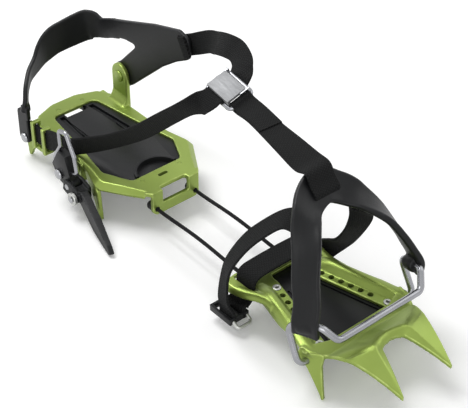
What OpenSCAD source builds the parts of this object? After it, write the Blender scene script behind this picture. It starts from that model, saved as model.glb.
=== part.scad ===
// Strap crampon: a pressed toe section and heel section joined by two cords, with a wire toe bail,
// a moulded toe yoke and heel cradle, webbing straps with a metal buckle, and a side lever.
// Millimetres. X points to the toe, Y to the wearer's left, Z up, and the ground is Z = 0.

/* [Sheet metal] */
// Thickness of the toe plate's sheet
toe_sheet = 2.5; // [2:0.1:2.8]
// Thickness of the heel plate's sheet
heel_sheet = 3; // [2.6:0.1:3.4]

/* [Toe plate] */
// Height of the toe deck's top face above the ground
toe_z = 25; // [24:0.5:28]
// Depth of the drilled ledges below the deck
ledge_drop = 3.5; // [3:0.1:4.2]
// Height of the rails' crests above the deck
crest_rise = 1.2; // [0.8:0.1:1.6]
// Width of a ledge's flat strip
ledge_w = 6; // [5.5:0.1:6.5]
// Width of a whole rail, from its inner to its outer edge
rail_w = 14; // [13.5:0.1:15]
// Angle at which each rail splays from the centre line
rail_splay = 14.5; // [13:0.5:15]
// Half the width of the opening between the rails, at its reference station
opening_half = 12.3; // [11.5:0.1:13]
// How far ahead of the origin the front points reach
point_reach = 155; // [148:1:162]
// Half the distance between the tips of the front points
point_half = 18.4; // [17:0.2:20]
// Angle at which the front points droop
point_droop = 23; // [21.5:0.5:24.5]
// Diameter of the holes in the ledges
ledge_hole = 3.6; // [3:0.1:4]
// Number of holes in each ledge
ledge_holes = 6; // [4:1:6]
// Distance between the holes in a ledge
ledge_pitch = 6.5; // [5.5:0.1:6.8]

/* [Toe bail and yoke] */
// Diameter of the bail's wire
bail_d = 4; // [3.5:0.1:4.4]
// Distance of the bail's pivot ahead of the origin
bail_x = 102; // [100:0.5:103]
// Depth of the bail's pivot below the deck's top face
bail_drop = 6.5; // [6:0.1:7.5]
// Height of the bail's front bar above its pivot
bail_rise = 21.5; // [19:0.5:26]
// Thickness of the yoke's moulding
yoke_t = 4; // [3.5:0.1:4.5]
// Height of the yoke's crown above the bail's pivot
crown_rise = 78.5; // [76:0.5:82]

/* [Link cords] */
// Diameter of a cord
cord_d = 2.4; // [2:0.1:2.8]
// Half the distance between the cords
cord_half = 15; // [14:0.2:15.6]
// Height of the cords above the ground
cord_z = 14.2; // [13.5:0.1:14.4]

/* [Heel plate] */
// Height of the heel plate's top face above the ground
heel_z = 27; // [26:0.5:29]
// Half the width of the heel plate along its straight sides
heel_half = 30; // [29.5:0.1:31]
// Width of the ring along its straight sides
ring_side = 6.5; // [6:0.1:7]
// How far each flared corner stands out beyond the straight sides
heel_flare = 7.5; // [6.5:0.1:8]
// Height of the post above the heel plate's top face
post_rise = 28; // [26:0.5:31]
// Width of the post
post_w = 16; // [14.5:0.5:17]

/* [Heel cradle] */
// Thickness of the cradle's moulding
cradle_t = 2.8; // [2.4:0.1:3.2]
// Height of the cradle's rivet above the heel plate's top face
cradle_rivet_rise = 19; // [17:0.5:20]
// Diameter of the shanks of the cradle's and the tail's rivets
rivet_d = 4; // [3:0.1:4.4]

/* [Webbing and buckle] */
// Thickness of all webbing
web_t = 1.6; // [1.2:0.1:1.8]
// Width of the connecting strap and the forefoot strap
strap_w = 18; // [16:0.5:18.5]
// Width of the ankle strap
ankle_w = 14; // [12:0.5:14.5]
// Diameter of the bars of the buckle's frame
buckle_bar = 3; // [2.6:0.1:3.2]
// Length of the buckle's flap, along the connecting strap
flap_l = 17; // [16:0.2:17.4]
// Thickness of the buckle's flap
flap_t = 2; // [1.6:0.1:2.4]

/* [Lever] */
// Diameter of the wire of the lever's frame
frame_d = 2.5; // [2:0.1:2.8]
// Thickness of the lever's pivot block
block_t = 6; // [5:0.1:6.4]
// Diameter of the block's rivet and the lever's pin
lever_pin_d = 4; // [3:0.1:4.4]
// Length of the lever from its pin to its tip
lever_l = 58; // [52:1:62]
// Diameter of the lever's dial
dial_d = 8.5; // [7:0.1:9]

/* [Clearances] */
// Gap between pieces that lie loosely on each other
gap = 0.3; // [0.2:0.05:0.4]
// Radial clearance of pins that turn in their holes
run_gap = 0.06; // [0.03:0.01:0.1]

/* [Hidden] */
$fn = 48;

// Finishes
green = [0.45, 0.60, 0.20];
moulding = [0.13, 0.13, 0.14];
webbing = [0.09, 0.09, 0.09];
silver = [0.68, 0.68, 0.70];
pale = [0.85, 0.85, 0.83];

// Toe plate stations and heights
rail_x = 60;
rail_back = 14;
rail_front = 46;
rail_rise_run = 4;
rail_edge_drop = 1.8;
ledge_z = toe_z - ledge_drop;
crest_z = toe_z + crest_rise;
rear_z = ledge_z + 0.1;
rear_x = 27;
ear_slot = [rear_x + 9, 24.5];
ear_slot_w = 4.4;
hole_row = 3.4;
eyelet_s = [-9.5, 41.5];
eyelet_d = 4;
eyelet_flange = 5;
eyelet_lip = 0.5;
side_bend = [104, 35];
side_bend_turn = -19.6;
side_splay = 17;
side_slant = toe_z / cos(side_splay);
side_tip_s = 10.4;
deck_front = 111;
arch_x = 124.5;
arch_z = toe_z + 6.4;
tip_z = arch_z - (point_reach - arch_x) * tan(point_droop);

// Front of the toe plate, far half: rows from the deck over the arch to the roots of a front point
front_rows_half = [
  [[105.5, 0, toe_z - 0.6], [105.5, 5, toe_z - 0.6], [105.5, 10, toe_z - 0.6], [105.5, 15, toe_z - 0.6],
    [105.5, 31.5, toe_z - 0.6]],
  [[deck_front, 0, toe_z - 0.2], [deck_front, 5, toe_z - 0.2], [deck_front, 10, toe_z - 0.2],
    [deck_front, 15, toe_z - 0.2], [deck_front - 1.2, 32, toe_z - 0.8]],
  [[arch_x - 3, 0, arch_z - 0.2], [arch_x - 2, 5, arch_z - 0.1], [arch_x - 0.6, 9.5, arch_z - 0.1],
    [arch_x, 12, arch_z], [116, 31.2, toe_z + 2.4]],
  [[126.2, 0, toe_z + 3.9], [126.8, 4.5, toe_z + 3.7], [129, 8.2, toe_z + 3.2], [130, 13.4, toe_z + 5.6],
    [arch_x, 28.4, toe_z + 3.9]]
];
point_tip = [
  [point_reach, point_half - 0.6, tip_z], [point_reach + 0.3, point_half, tip_z + 0.1],
  [point_reach, point_half + 0.7, tip_z]
];
point_bulge = [1.1, 0.4, 1.7];
point_steps = 4;

// Snow plate of the toe section
toe_snow_t = 2.4;
toe_snow_x = [44, 105];
toe_snow_lap = 5.8;
toe_snow_top = ledge_z - toe_sheet;

// Toe bail and yoke
bail_z = toe_z - bail_drop;
bail_bend = 5;
bail_in = 32.6;
bail_head = 1.2;
bail_path_half = [
  [bail_x, bail_in, bail_z], [bail_x, 44, bail_z], [bail_x - 11, 43, bail_z + 22],
  [bail_x + 9, 37, bail_z + bail_rise + 8], [bail_x + 16, 31, bail_z + bail_rise]
];
bail_path = concat(bail_path_half, mirrored(reversed(bail_path_half)));
saddle_a = bail_path_half[2];
saddle_b = bail_path_half[3];
saddle_mid = saddle_a + (saddle_b - saddle_a) * 0.56;
saddle_l = 11;
saddle_h = bail_d + 5;
crown_z = bail_z + crown_rise;
crown_x = bail_x - 32.5;
crown_lean = 44;
yoke_slot = [5, strap_w + 1];
leg_z = [for (share = [0.452, 0.618, 0.795, 0.915, 0.972]) bail_z + crown_rise * share];
yoke_points_half = [
  saddle_mid + [-0.6, 0, 3], [bail_x - 1, 39.5, leg_z[0]], [bail_x - 5, 35, leg_z[1]],
  [bail_x - 11, 28.5, leg_z[2]], [bail_x - 21, 19.5, leg_z[3]], [bail_x - 30, 10.5, leg_z[4]],
  [crown_x, 0, crown_z]
];
yoke_across_half = [
  [0.9, -0.27, 0.34], [0.92, -0.3, 0.2], [0.95, -0.3, 0], [0.93, -0.2, -0.25],
  [0.85, -0.1, -0.5], [0.76, -0.03, -0.64], [0.72, 0, -0.69]
];
yoke_widths_half = [12, 15.5, 17.5, 17.5, 17, 16.5, 17];

// Link cords
cord_heel_x = -58.5;
cord_toe_x = 64;
cord_bow = 1.5;
cord_bar_l = 7;
cord_bar_w = 2 * cord_half + 8;
cord_bar_top = toe_snow_top - toe_snow_t - gap;
cord_bar_bottom = cord_z - cord_d / 2 - 0.7;
stopper_d = 6;
stopper_x = cord_heel_x - heel_sheet / 2 - stopper_d / 2 - 0.6;

// Heel plate stations
heel_rear_x = -180;
heel_flare_x = -117;
heel_corner_x = -92;
heel_front_x = -60;
heel_bottom = heel_z - heel_sheet;
open_rear_x = -168;
open_front_x = -78;
flare_turn = atan2(heel_flare, heel_corner_x - heel_flare_x);
flare_l = (heel_corner_x - heel_flare_x) / cos(flare_turn);
front_flange_half = 19;
front_flange_bottom = cord_z - 4.5;
window_half = 10;
window_z = [cord_z + 3, heel_z + 1];
window_notch = 3.5;
rear_splay = 6;
edge_inset = 0.4;
post_x = -155;
post_in = heel_half - 1;
post_out = post_in + heel_sheet;
cradle_rivet_z = heel_z + cradle_rivet_rise;
post_top_r = post_w / 2;
tail_rivet_at = [-174.6, 15];

// Snow plate of the heel section
heel_snow_t = 2.4;
heel_snow_rise = 1.6;
heel_snow_fit = 0.3;
arch_at = [-75, 0];
arch_r = 14;
arch_lip = 2;
arch_lip_rise = 2.2;
heel_rivet_d = 3;
heel_rivet_head = 5.5;
heel_rivet_lip = 0.8;
heel_rivets_at = [[-171.6, 9.5], [-171.6, -9.5], [-73.6, 14.5], [-73.6, -14.5]];

// Heel cradle, on the outer face of the post
cradle_y = post_out + 0.1;
cradle_mid = cradle_y + cradle_t / 2;
cradle_outline = [
  [-161.5, 51], [-148, 39.5], [-112, 72], [-97, 83], [-84, 90.5], [-84, 104.5], [-94, 107],
  [-120, 99.5], [-146, 90], [-165, 83.3], [-166, 70.5], [-150, 74.5], [-138, 75.5]
];
cradle_lift = cradle_rivet_z - 46;
cradle_end_r = 9;
cradle_slot = [3, ankle_w + 1];
cradle_slot_at = [-90, 97.3];
cradle_slot_lean = 28;
cradle_band = [
  [-160, cradle_mid, 78], [-168, cradle_mid, 75], [-176, 32.4, 72], [-183, 29, 72.4], [-187, 25, 71],
  [-191.5, 14, 67.4], [-193, 4, 64.6], [-192.4, -4, 60.8], [-190, -12, 56.4], [-186.5, -18.5, 53.4],
  [-183, -23.4, 50.6], [-179.6, -28, 46.4], [-176.4, -31.6, 41.4], [-174.2, -33.6, 36]
];
cradle_band_widths = [13, 13.8, 15, 21.6, 22.6, 22.2, 21.6, 18.6, 14, 11, 9, 8, 7.2, 7];
tail_y = -(heel_half + 2.4) - cradle_t / 2;
tail_pad = [11, 24];
tail_pad_z = 12;

// Buckle: its own frame has X towards the yoke, Y towards the far side and Z out of the flap
buckle_at = [-15.5, 6.9, 113.4];
buckle_turn = [21, 7.5, -2];
buckle_half = [11.2, 8];
flap_z = 3.4;
flap_w = 13;
flap_pin_at = [4.2, 2.6];
flap_pin_d = 2.2;
cheek_t = 1.6;
cheek_x = flap_l / 2 + gap;

// Lever: block, frame, lever and dial lie in planes across Y
lug_x = [-125, -113];
lug_out = -(heel_half + heel_sheet);
block_y = lug_out - 5.5;
block_mid = block_y - block_t / 2;
lever_rivet_at = [-121, 20];
lever_pin_at = [-110, 17];
block_eye = 4.6;
block_outline = [[-128, 25], [-121, 37], [-113.5, 36.5], [-108, 20], [-109, 12.4], [-116, 14], [-123, 16]];
frame_path = [
  [-121, 23], [-130, 26.5], [-121, 40], [-121.5, 51.5],
  [-113.5, 53.5], [-106.5, 39], [-104.8, 28], [-112, 24]
];
frame_bend = 2.6;
fork_t = 2.3;
fork_l = 9;
tail_turn = -15;
tail_t = 5.4;
dial_at = [8.5, -3.5];
dial_t = 2.2;
dial_pin_d = 3;
rivet_head = 1.7;

// Ladder buckle at the near end of the forefoot strap
ladder_at = [36, -41, 6.6];
ladder_half = [11.5, 7.2];
ladder_t = 4.4;
ladder_window = [strap_w + 0.8, 3.6];
ladder_window_y = 3.3;
ring_d = 2.2;

// Strap routes: points chosen by hand, with the direction across the webbing at each point
web_clear = web_t / 2 + 0.3;
near_strap_route = [
  [ladder_at[0], ladder_at[1] - ladder_window_y, 4.8], [ladder_at[0], ladder_at[1] - ladder_window_y, 10],
  [33.5, -45.6, 18], [31.5, -42.8, 30], [34, -40, 44], [43.5, -34, 62], [55, -26.5, 76], [63, -21.4, 83.4],
  [69.6, -19.6, 85.4], [77, -18.6, 83.6]
];
near_strap_across = [
  [1, 0, 0], [1, 0, 0], [0.92, -0.25, 0.15], [0.85, -0.4, 0.1], [0.8, -0.5, 0], [0.75, -0.6, -0.16],
  [0.68, -0.68, -0.18], [0.62, -0.74, -0.25], [0.58, -0.65, -0.45], [0.56, -0.6, -0.57]
];
far_strap_route = [
  [37.5, 35, 15.2], [41.5, 35.4, 20.5], [49, 33.8, 28.5], [59.5, 30.8, 40], [69, 28, 55], [75, 25.2, 68],
  [77, 22, 75.6], [77, 18.8, 80.6], [75, 15.4, 83.6]
];
far_strap_across = [
  [0.75, 0, -0.66], [0.7, 0.35, -0.6], [0.6, 0.65, -0.45], [0.4, 0.88, -0.25], [0.4, 0.88, -0.2],
  [0.6, 0.75, -0.25], [0.8, 0.5, -0.3], [0.9, 0.2, -0.35], [0.93, -0.1, -0.35]
];
under_strap_half = [[36, 0, 29.4], [36, 12, 29.2], [36, 20.5, 28.4], [36, 23.9, 25.5], [36, 24.6, 20]];
under_strap_near = [
  [36, -26, 15], [36, -29.5, 11.7], [36, -34, 10.2],
  [ladder_at[0], ladder_at[1] + ladder_window_y + 0.6, 9.2],
  [ladder_at[0], ladder_at[1] + ladder_window_y, 5]
];
under_strap_far = [[36, 27, 15.4], [36, 30.5, 13.8], [36.5, 33.8, 13.6]];
web_under = -(buckle_bar + web_t) / 2 - 0.15;
side_out = -heel_half;
ankle_near_route = [
  buckle_point([-1, -buckle_half[1] + 4, web_under]),
  buckle_point([-1.8, -buckle_half[1] - 0.5, web_under - 0.3]),
  buckle_point([-5, -buckle_half[1] - 4.5, web_under - 1.2]), [-26.5, -8, 103.4], [-34, -11.4, 99.4],
  [-47, -13.4, 87.6], [-70, -17.5, 66.5], [-92, -21.5, 50.5], [-108, side_out + 5, 42],
  [-119, side_out + 0.8, 39.4], [-126, side_out - 2, 37], [-131, side_out - 3.6, 33.2],
  [-138, side_out - 4.5, 26], [-146, side_out - 4.3, 18.5], [-152, side_out - 1, 14.6],
  [-156.5, side_out + 3.8, 14], [-161, side_out + 4.6, 14], [-171, side_out + 4.6, 14]
];
ankle_near_across = [
  buckle_way([-1, 0, 0]), buckle_way([-1, 0, 0]), buckle_way([-1, 0, 0]),
  [-0.95, -0.1, 0.3], [-0.75, -0.38, 0.53],
  [-0.55, -0.58, 0.6], [-0.4, -0.66, 0.63], [-0.35, -0.62, 0.7], [-0.2, -0.45, 0.85],
  [-0.1, -0.35, 0.93], [0, -0.2, 0.98], [0, -0.05, 1],
  [0, 0, 1], [0, 0, 1], [0, 0, 1], [0, 0, 1], [0, 0, 1], [0, 0, 1]
];
slot_across = [-0.47, 0, 0.88];
ankle_far_route = [
  cradle_slot_point(7, -web_clear), cradle_slot_point(2.2, -web_clear), cradle_slot_point(0, -0.4),
  cradle_slot_point(0, cradle_t + 0.4), cradle_slot_point(2.2, cradle_t + web_clear),
  cradle_slot_point(9, cradle_t + web_clear + 0.6), [-70, 37.4, 110.5], [-60, 34.5, 116], [-49, 30, 120.5],
  [-39, 25.5, 123], [-30, 21.5, 123], [-22, 18.8, 119.6],
  buckle_point([-0.4, buckle_half[1] + 2.4, web_under + 0.2]),
  buckle_point([-0.4, buckle_half[1] - 0.5, web_under]), buckle_point([-0.4, buckle_half[1] - 4, web_under])
];
ankle_far_across = [
  slot_across, slot_across, slot_across, slot_across, slot_across, slot_across,
  [-0.4, 0.3, 0.85], [-0.25, 0.45, 0.83], [0.1, 0.55, 0.78], [0.5, 0.5, 0.7], [0.75, 0.25, 0.6],
  [0.93, 0.03, 0.3], buckle_way([1, 0, 0]), buckle_way([1, 0, 0]), buckle_way([1, 0, 0])
];
connecting_route = [
  buckle_point([buckle_half[0] - 2.6, 0, web_under]), buckle_point([buckle_half[0] + 2, 0, web_under]),
  [11, 4.6, 111.2], [26, 3, 110], [42, 1.5, 108.6], [56, 0.4, 107],
  crown_point(-9, 0, 4.4), crown_point(-4, 0, yoke_t / 2 + web_clear),
  crown_point(0.2, 0, yoke_t / 2 + 0.6), crown_point(1.5, 0, 0.4), crown_point(1.5, 0, -yoke_t / 2 - 1.2),
  crown_point(0, 0, -yoke_t / 2 - 2.6), crown_point(-4, 0, -yoke_t / 2 - 3),
  crown_point(-9, 0, -yoke_t / 2 - 3)
];
connecting_across = [
  buckle_way([0, 1, 0]), buckle_way([0, 1, 0]), [0.05, 0.99, 0.1], [0.02, 0.99, -0.1], [0, 0.97, 0.2],
  [0, 0.98, 0.18], [0, 1, 0], [0, 1, 0], [0, 1, 0], [0, 1, 0], [0, 1, 0], [0, 1, 0], [0, 1, 0], [0, 1, 0]
];
// Width along the connecting strap as shares of strap_w: gathered where it is sewn round the buckle
connecting_widths = [0.76, 0.76, 0.8, 0.86, 0.95, 1, 1, 1, 1, 1, 1, 1, 1, 1];
strap_steps = 3;

// Lap of a wire's straight bars into its bends, and the small step between them
wire_lap = 0.3;
wire_step = 0.05;

// Functions on lists and vectors
function unit(v) = v / norm(v);
function reversed(list) = [for (i = [len(list) - 1:-1:0]) list[i]];
function mirrored(list) = [for (p = list) [p[0], -p[1], p[2]]];
function flipped(list) = [for (p = list) [p[0], -p[1]]];
function both_sides(half) = concat(half, reversed(flipped(half)));
function turned(p, angle) = [p[0] * cos(angle) - p[1] * sin(angle), p[0] * sin(angle) + p[1] * cos(angle)];

// Outline of a bent sheet: a polyline and the same line moved by the sheet's thickness to its right
function right_of(a, b) = let (d = unit(b - a)) [d[1], -d[0]];
function miter(line, i) =
  let (last = len(line) - 1)
  i == 0 ? right_of(line[0], line[1]) :
  i == last ? right_of(line[last - 1], line[last]) :
  let (n = right_of(line[i - 1], line[i]), m = unit(n + right_of(line[i], line[i + 1]))) m / (m * n);
function sheet(line, t) =
  concat(line, reversed([for (i = [0:len(line) - 1]) line[i] + t * miter(line, i)]));

// A smooth route through hand-chosen points, with k steps between neighbours
function spline(a, b, c, d, t) =
  0.5 * (2 * b + (c - a) * t + (2 * a - 5 * b + 4 * c - d) * t * t + (3 * b - a - 3 * c + d) * t * t * t);
function smooth(list, k) =
  let (last = len(list) - 1)
  concat(
    [for (i = [0:last - 1], j = [0:k - 1])
      spline(list[max(i - 1, 0)], list[i], list[i + 1], list[min(i + 2, last)], j / k)],
    [list[last]]);
function tangent(list, i) = unit(list[min(i + 1, len(list) - 1)] - list[max(i - 1, 0)]);

// A point turned about one axis
function turn_x(p, a) = [p[0], p[1] * cos(a) - p[2] * sin(a), p[1] * sin(a) + p[2] * cos(a)];
function turn_y(p, a) = [p[0] * cos(a) + p[2] * sin(a), p[1], p[2] * cos(a) - p[0] * sin(a)];
function turn_z(p, a) = [p[0] * cos(a) - p[1] * sin(a), p[0] * sin(a) + p[1] * cos(a), p[2]];
// Directions and places in the buckle's frame, in the yoke's crown and at the cradle's slot
function buckle_way(v) = turn_z(turn_y(turn_x(v, buckle_turn[0]), buckle_turn[1]), buckle_turn[2]);
function buckle_point(p) = buckle_at + buckle_way(p);
function crown_point(x, y, z) = [crown_x, 0, crown_z] + turn_y([x, y, z], crown_lean);
function cradle_slot_point(along, out) = [
  cradle_slot_at[0] + along * cos(cradle_slot_lean), cradle_y + out,
  cradle_slot_at[1] + cradle_lift + along * sin(cradle_slot_lean)
];
// Place on the toe rail of the far side
function on_rail(s, q) = [rail_x, opening_half] + turned([s, q], rail_splay);
// Half width of the opening at a station
function opening_at(x) = opening_half + (x - rail_x) * tan(rail_splay);

// Flat band along a route: widths may change, across gives the direction of its width
module band(route, across, widths, t) {
  last = len(route) - 1;
  rings = [for (i = [0:last])
    let (
      along = tangent(route, i),
      face = unit(cross(along, across[i])),
      side = unit(cross(face, along)) * widths[i] / 2,
      lift = face * t / 2
    )
    [route[i] - side - lift, route[i] + side - lift, route[i] + side + lift, route[i] - side + lift]];
  points = [for (ring = rings, p = ring) p];
  walls = [for (i = [0:last - 1], j = [0:3])
    let (a = 4 * i + j, b = 4 * i + (j + 1) % 4)
    each [[a, b, b + 4], [a, b + 4, a + 4]]];
  e = 4 * last;
  ends = [[0, 2, 1], [0, 3, 2], [e, e + 1, e + 2], [e, e + 2, e + 3]];
  polyhedron(points, concat([for (f = walls) reversed(f)], [for (f = ends) reversed(f)]));
}

module strap(route, across, w) {
  path = smooth(route, strap_steps);
  band(path, smooth(across, strap_steps), [for (p = path) w], web_t);
}

// Round tube along a route, 8 sides
module cord(route, d) {
  last = len(route) - 1;
  sides = 8;
  points = [for (i = [0:last], j = [0:sides - 1])
    let (
      along = tangent(route, i),
      side = unit(cross([0, 0, 1], along)),
      up = cross(along, side),
      a = 360 * (j + 0.5) / sides
    )
    route[i] + (side * cos(a) + up * sin(a)) * d / 2];
  walls = [for (i = [0:last - 1], j = [0:sides - 1])
    let (a = sides * i + j, b = sides * i + (j + 1) % sides)
    each [[a, b, b + sides], [a, b + sides, a + sides]]];
  ends = concat(
    [for (j = [1:sides - 2]) [0, j + 1, j]],
    [for (j = [1:sides - 2]) [sides * last, sides * last + j, sides * last + j + 1]]);
  polyhedron(points, concat([for (f = walls) reversed(f)], [for (f = ends) reversed(f)]));
}

// Straight round bar between two points
module bar(p, q, d) {
  v = q - p;
  translate(p)
    rotate([0, acos(v[2] / norm(v)), atan2(v[1], v[0])])
      cylinder(h = norm(v), d = d);
}

// Bent round wire through points, with the same bend radius at each inner point
module bent_wire(points, d, r) {
  last = len(points) - 1;
  dir = [for (i = [0:last - 1]) unit(points[i + 1] - points[i])];
  turn = [for (i = [0:last]) i == 0 || i == last ? 0 : acos(dir[i - 1] * dir[i])];
  cut = [for (a = turn) r * tan(a / 2)];
  lap = [for (i = [0:last]) i == 0 || i == last ? 0 : wire_lap];
  for (i = [0:last - 1])
    bar(points[i] + dir[i] * (cut[i] - lap[i]), points[i + 1] - dir[i] * (cut[i + 1] - lap[i + 1]), d);
  for (i = [1:last - 1]) {
    start = points[i] - dir[i - 1] * cut[i];
    inward = unit(dir[i] - dir[i - 1] * (dir[i - 1] * dir[i]));
    centre = start + inward * r;
    out = -inward;
    ahead = dir[i - 1];
    up = cross(out, ahead);
    multmatrix([
      [out[0], ahead[0], up[0], centre[0]],
      [out[1], ahead[1], up[1], centre[1]],
      [out[2], ahead[2], up[2], centre[2]],
      [0, 0, 0, 1]
    ])
      rotate_extrude(angle = turn[i]) translate([r, 0]) circle(d = d - 2 * wire_step);
  }
}

// A shape and its mirror image on the other side of the centre line
module on_both_sides() {
  children();
  mirror([0, 1, 0]) children();
}

// Upright plate drawn in X and Z, with its outer face at y and its thickness towards the centre line
module upright(y, t) {
  translate([0, y, 0]) rotate([90, 0, 0]) linear_extrude(t) children();
}

// Pin across Y, from y0 to y1, drawn at a place in X and Z
module cross_pin(at, y0, y1, d) {
  translate([at[0], max(y0, y1), at[1]]) rotate([90, 0, 0]) cylinder(h = abs(y1 - y0), d = d);
}

module toe_rail() {
  profile = [
    [0, ledge_z], [ledge_w, ledge_z], [ledge_w + rail_rise_run, crest_z], [rail_w, crest_z - rail_edge_drop]
  ];
  translate([rail_x, opening_half, 0])
    rotate([0, 0, rail_splay])
      translate([-rail_back, 0, 0])
        rotate([90, 0, 90])
          linear_extrude(rail_back + rail_front) polygon(sheet(profile, toe_sheet));
}

module toe_deck() {
  half = [
    [103, 0], [103, opening_at(103) - 1], [97, 37.2], [103.5, 38],
    [deck_front - 1.5, 34], [deck_front, 31], [deck_front, 0]
  ];
  translate([0, 0, toe_z - toe_sheet]) linear_extrude(toe_sheet) polygon(both_sides(half));
}

// Arched front with both front points: one pressed sheet, drawn as its upper face and the same face lowered
module toe_front() {
  cols = 9;
  rows = len(front_rows_half);
  per_point = 3 * point_steps;
  base = [for (row = front_rows_half) each concat(reversed([for (i = [1:4]) mirrored(row)[i]]), row)];
  root = [for (i = [2:4]) front_rows_half[rows - 1][i]];
  point = [for (k = [1:point_steps], i = [0:2])
    let (t = k / point_steps)
    root[i] + (point_tip[i] - root[i]) * t + [0, 0, point_bulge[i] * 4 * t * (1 - t)]];
  top = concat(base, point, mirrored(point));
  count = len(top);
  last_row = cols * (rows - 1);
  far_at = len(base);
  near_at = far_at + per_point;
  far_rows = concat([[last_row + 6, last_row + 7, last_row + 8]],
    [for (k = [0:point_steps - 1]) [for (i = [0:2]) far_at + 3 * k + i]]);
  near_rows = concat([[last_row + 2, last_row + 1, last_row]],
    [for (k = [0:point_steps - 1]) [for (i = [0:2]) near_at + 3 * k + i]]);
  deck_faces = [for (r = [0:rows - 2], c = [0:cols - 2])
    let (a = cols * r + c) each [[a, a + 1, a + cols + 1], [a, a + cols + 1, a + cols]]];
  far_faces = [for (k = [0:point_steps - 1], i = [0:1])
    let (a = far_rows[k], b = far_rows[k + 1]) each [[a[i], a[i + 1], b[i + 1]], [a[i], b[i + 1], b[i]]]];
  near_faces = [for (k = [0:point_steps - 1], i = [0:1])
    let (a = near_rows[k], b = near_rows[k + 1]) each [[a[i], b[i + 1], a[i + 1]], [a[i], b[i], b[i + 1]]]];
  upper = concat(deck_faces, far_faces, near_faces);
  rim = concat(
    [for (c = [0:cols - 1]) c],
    [for (r = [1:rows - 1]) cols * r + cols - 1],
    [for (k = [1:point_steps]) far_rows[k][2]],
    [far_rows[point_steps][1]],
    [for (k = [point_steps:-1:0]) far_rows[k][0]],
    [last_row + 5, last_row + 4, last_row + 3],
    [for (k = [0:point_steps]) near_rows[k][0]],
    [near_rows[point_steps][1]],
    [for (k = [point_steps:-1:0]) near_rows[k][2]],
    [for (r = [rows - 2:-1:1]) cols * r]
  );
  walls = [for (i = [0:len(rim) - 1])
    let (a = rim[i], b = rim[(i + 1) % len(rim)]) each [[a, b + count, b], [a, a + count, b + count]]];
  lower = [for (f = upper) [f[2] + count, f[1] + count, f[0] + count]];
  polyhedron(concat(top, [for (p = top) p - [0, 0, toe_sheet]]), concat(upper, lower, walls));
}

// Flat side point, bent down and outwards from the deck
module side_point() {
  blade = [
    [-8.6, 0], [6.8, 0], [6.4, -7.4], [side_tip_s + 0.6, -side_slant], [side_tip_s - 0.7, -side_slant],
    [8.4, -24.2], [2.9, -16.8], [-2, -10.9], [-5.2, -7.4], [-8.6, -5.4]
  ];
  translate([side_bend[0], side_bend[1], toe_z - toe_sheet / 2])
    rotate([0, 0, side_bend_turn])
      rotate([side_splay, 0, 0])
        translate([0, toe_sheet / 2, toe_sheet / 2])
          upright(0, toe_sheet) polygon(blade);
}

module rear_deck() {
  half = [
    [rear_x, 0], [rear_x, 14], [rear_x - 2, 23], [rear_x - 1.5, 29],
    [rear_x + 3, 32.4], [rear_x + 13, 31.4], [rear_x + 21, 27.2], [rear_x + 25, 24],
    [rear_x + 25, opening_at(rear_x + 25) + 1], [rear_x + 12, 8], [rear_x + 12, 0]
  ];
  translate([0, 0, rear_z - toe_sheet]) linear_extrude(toe_sheet) polygon(both_sides(half));
}

module toe_plate() {
  color(green)
    difference() {
      union() {
        rear_deck();
        toe_deck();
        toe_front();
        on_both_sides() {
          toe_rail();
          side_point();
        }
      }
      on_both_sides() {
        for (i = [0:ledge_holes - 1])
          let (at = on_rail((i - 0.35) * ledge_pitch, hole_row))
            translate([at[0], at[1], ledge_z - 2 * toe_sheet])
              cylinder(h = 3 * toe_sheet, d = ledge_hole);
        for (s = eyelet_s)
          let (at = on_rail(s, hole_row))
            translate([at[0], at[1], ledge_z - 2 * toe_sheet])
              cylinder(h = 3 * toe_sheet, d = eyelet_d + 2 * run_gap);
        translate([ear_slot[0], ear_slot[1], rear_z])
          cube([strap_w + 1.4, ear_slot_w, 4 * toe_sheet], center = true);
        cross_pin([bail_x, bail_z], 24, 46, bail_d + 2 * run_gap);
      }
    }
}

module toe_snow_plate() {
  half = [for (x = toe_snow_x) [x, opening_at(x) + toe_snow_lap]];
  color(moulding)
    difference() {
      translate([0, 0, toe_snow_top - toe_snow_t])
        linear_extrude(toe_snow_t) polygon(both_sides(half));
      on_both_sides()
        for (s = eyelet_s)
          let (at = on_rail(s, hole_row))
            translate([at[0], at[1], toe_snow_top - 2 * toe_snow_t])
              cylinder(h = 3 * toe_snow_t, d = eyelet_d + 2 * run_gap);
    }
}

module toe_eyelets() {
  bottom = toe_snow_top - toe_snow_t - eyelet_lip;
  top = rear_z + eyelet_lip;
  color(pale)
    on_both_sides()
      for (s = eyelet_s)
        let (at = on_rail(s, hole_row))
          translate([at[0], at[1], bottom])
            difference() {
              union() {
                cylinder(h = top - bottom, d = eyelet_d);
                cylinder(h = eyelet_lip, d = eyelet_flange);
                translate([0, 0, top - bottom - eyelet_lip]) cylinder(h = eyelet_lip, d = eyelet_flange);
              }
              translate([0, 0, -1]) cylinder(h = top - bottom + 2, d = eyelet_d / 2);
            }
}

module toe_bail_wire() {
  color(silver) {
    bent_wire(bail_path, bail_d, bail_bend);
    on_both_sides() cross_pin([bail_x, bail_z], bail_in, bail_in + bail_head, bail_d + 1.2);
  }
}

// Sleeve of the yoke round the bail's saddle bar
module yoke_saddle() {
  dir = unit(saddle_b - saddle_a);
  translate(saddle_mid)
    rotate([0, acos(dir[2]), atan2(dir[1], dir[0])])
      translate([0, 0, -saddle_l / 2])
        rotate([0, 0, 45])
          cylinder(h = saddle_l, d = saddle_h * 1.16, $fn = 8);
}

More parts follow.
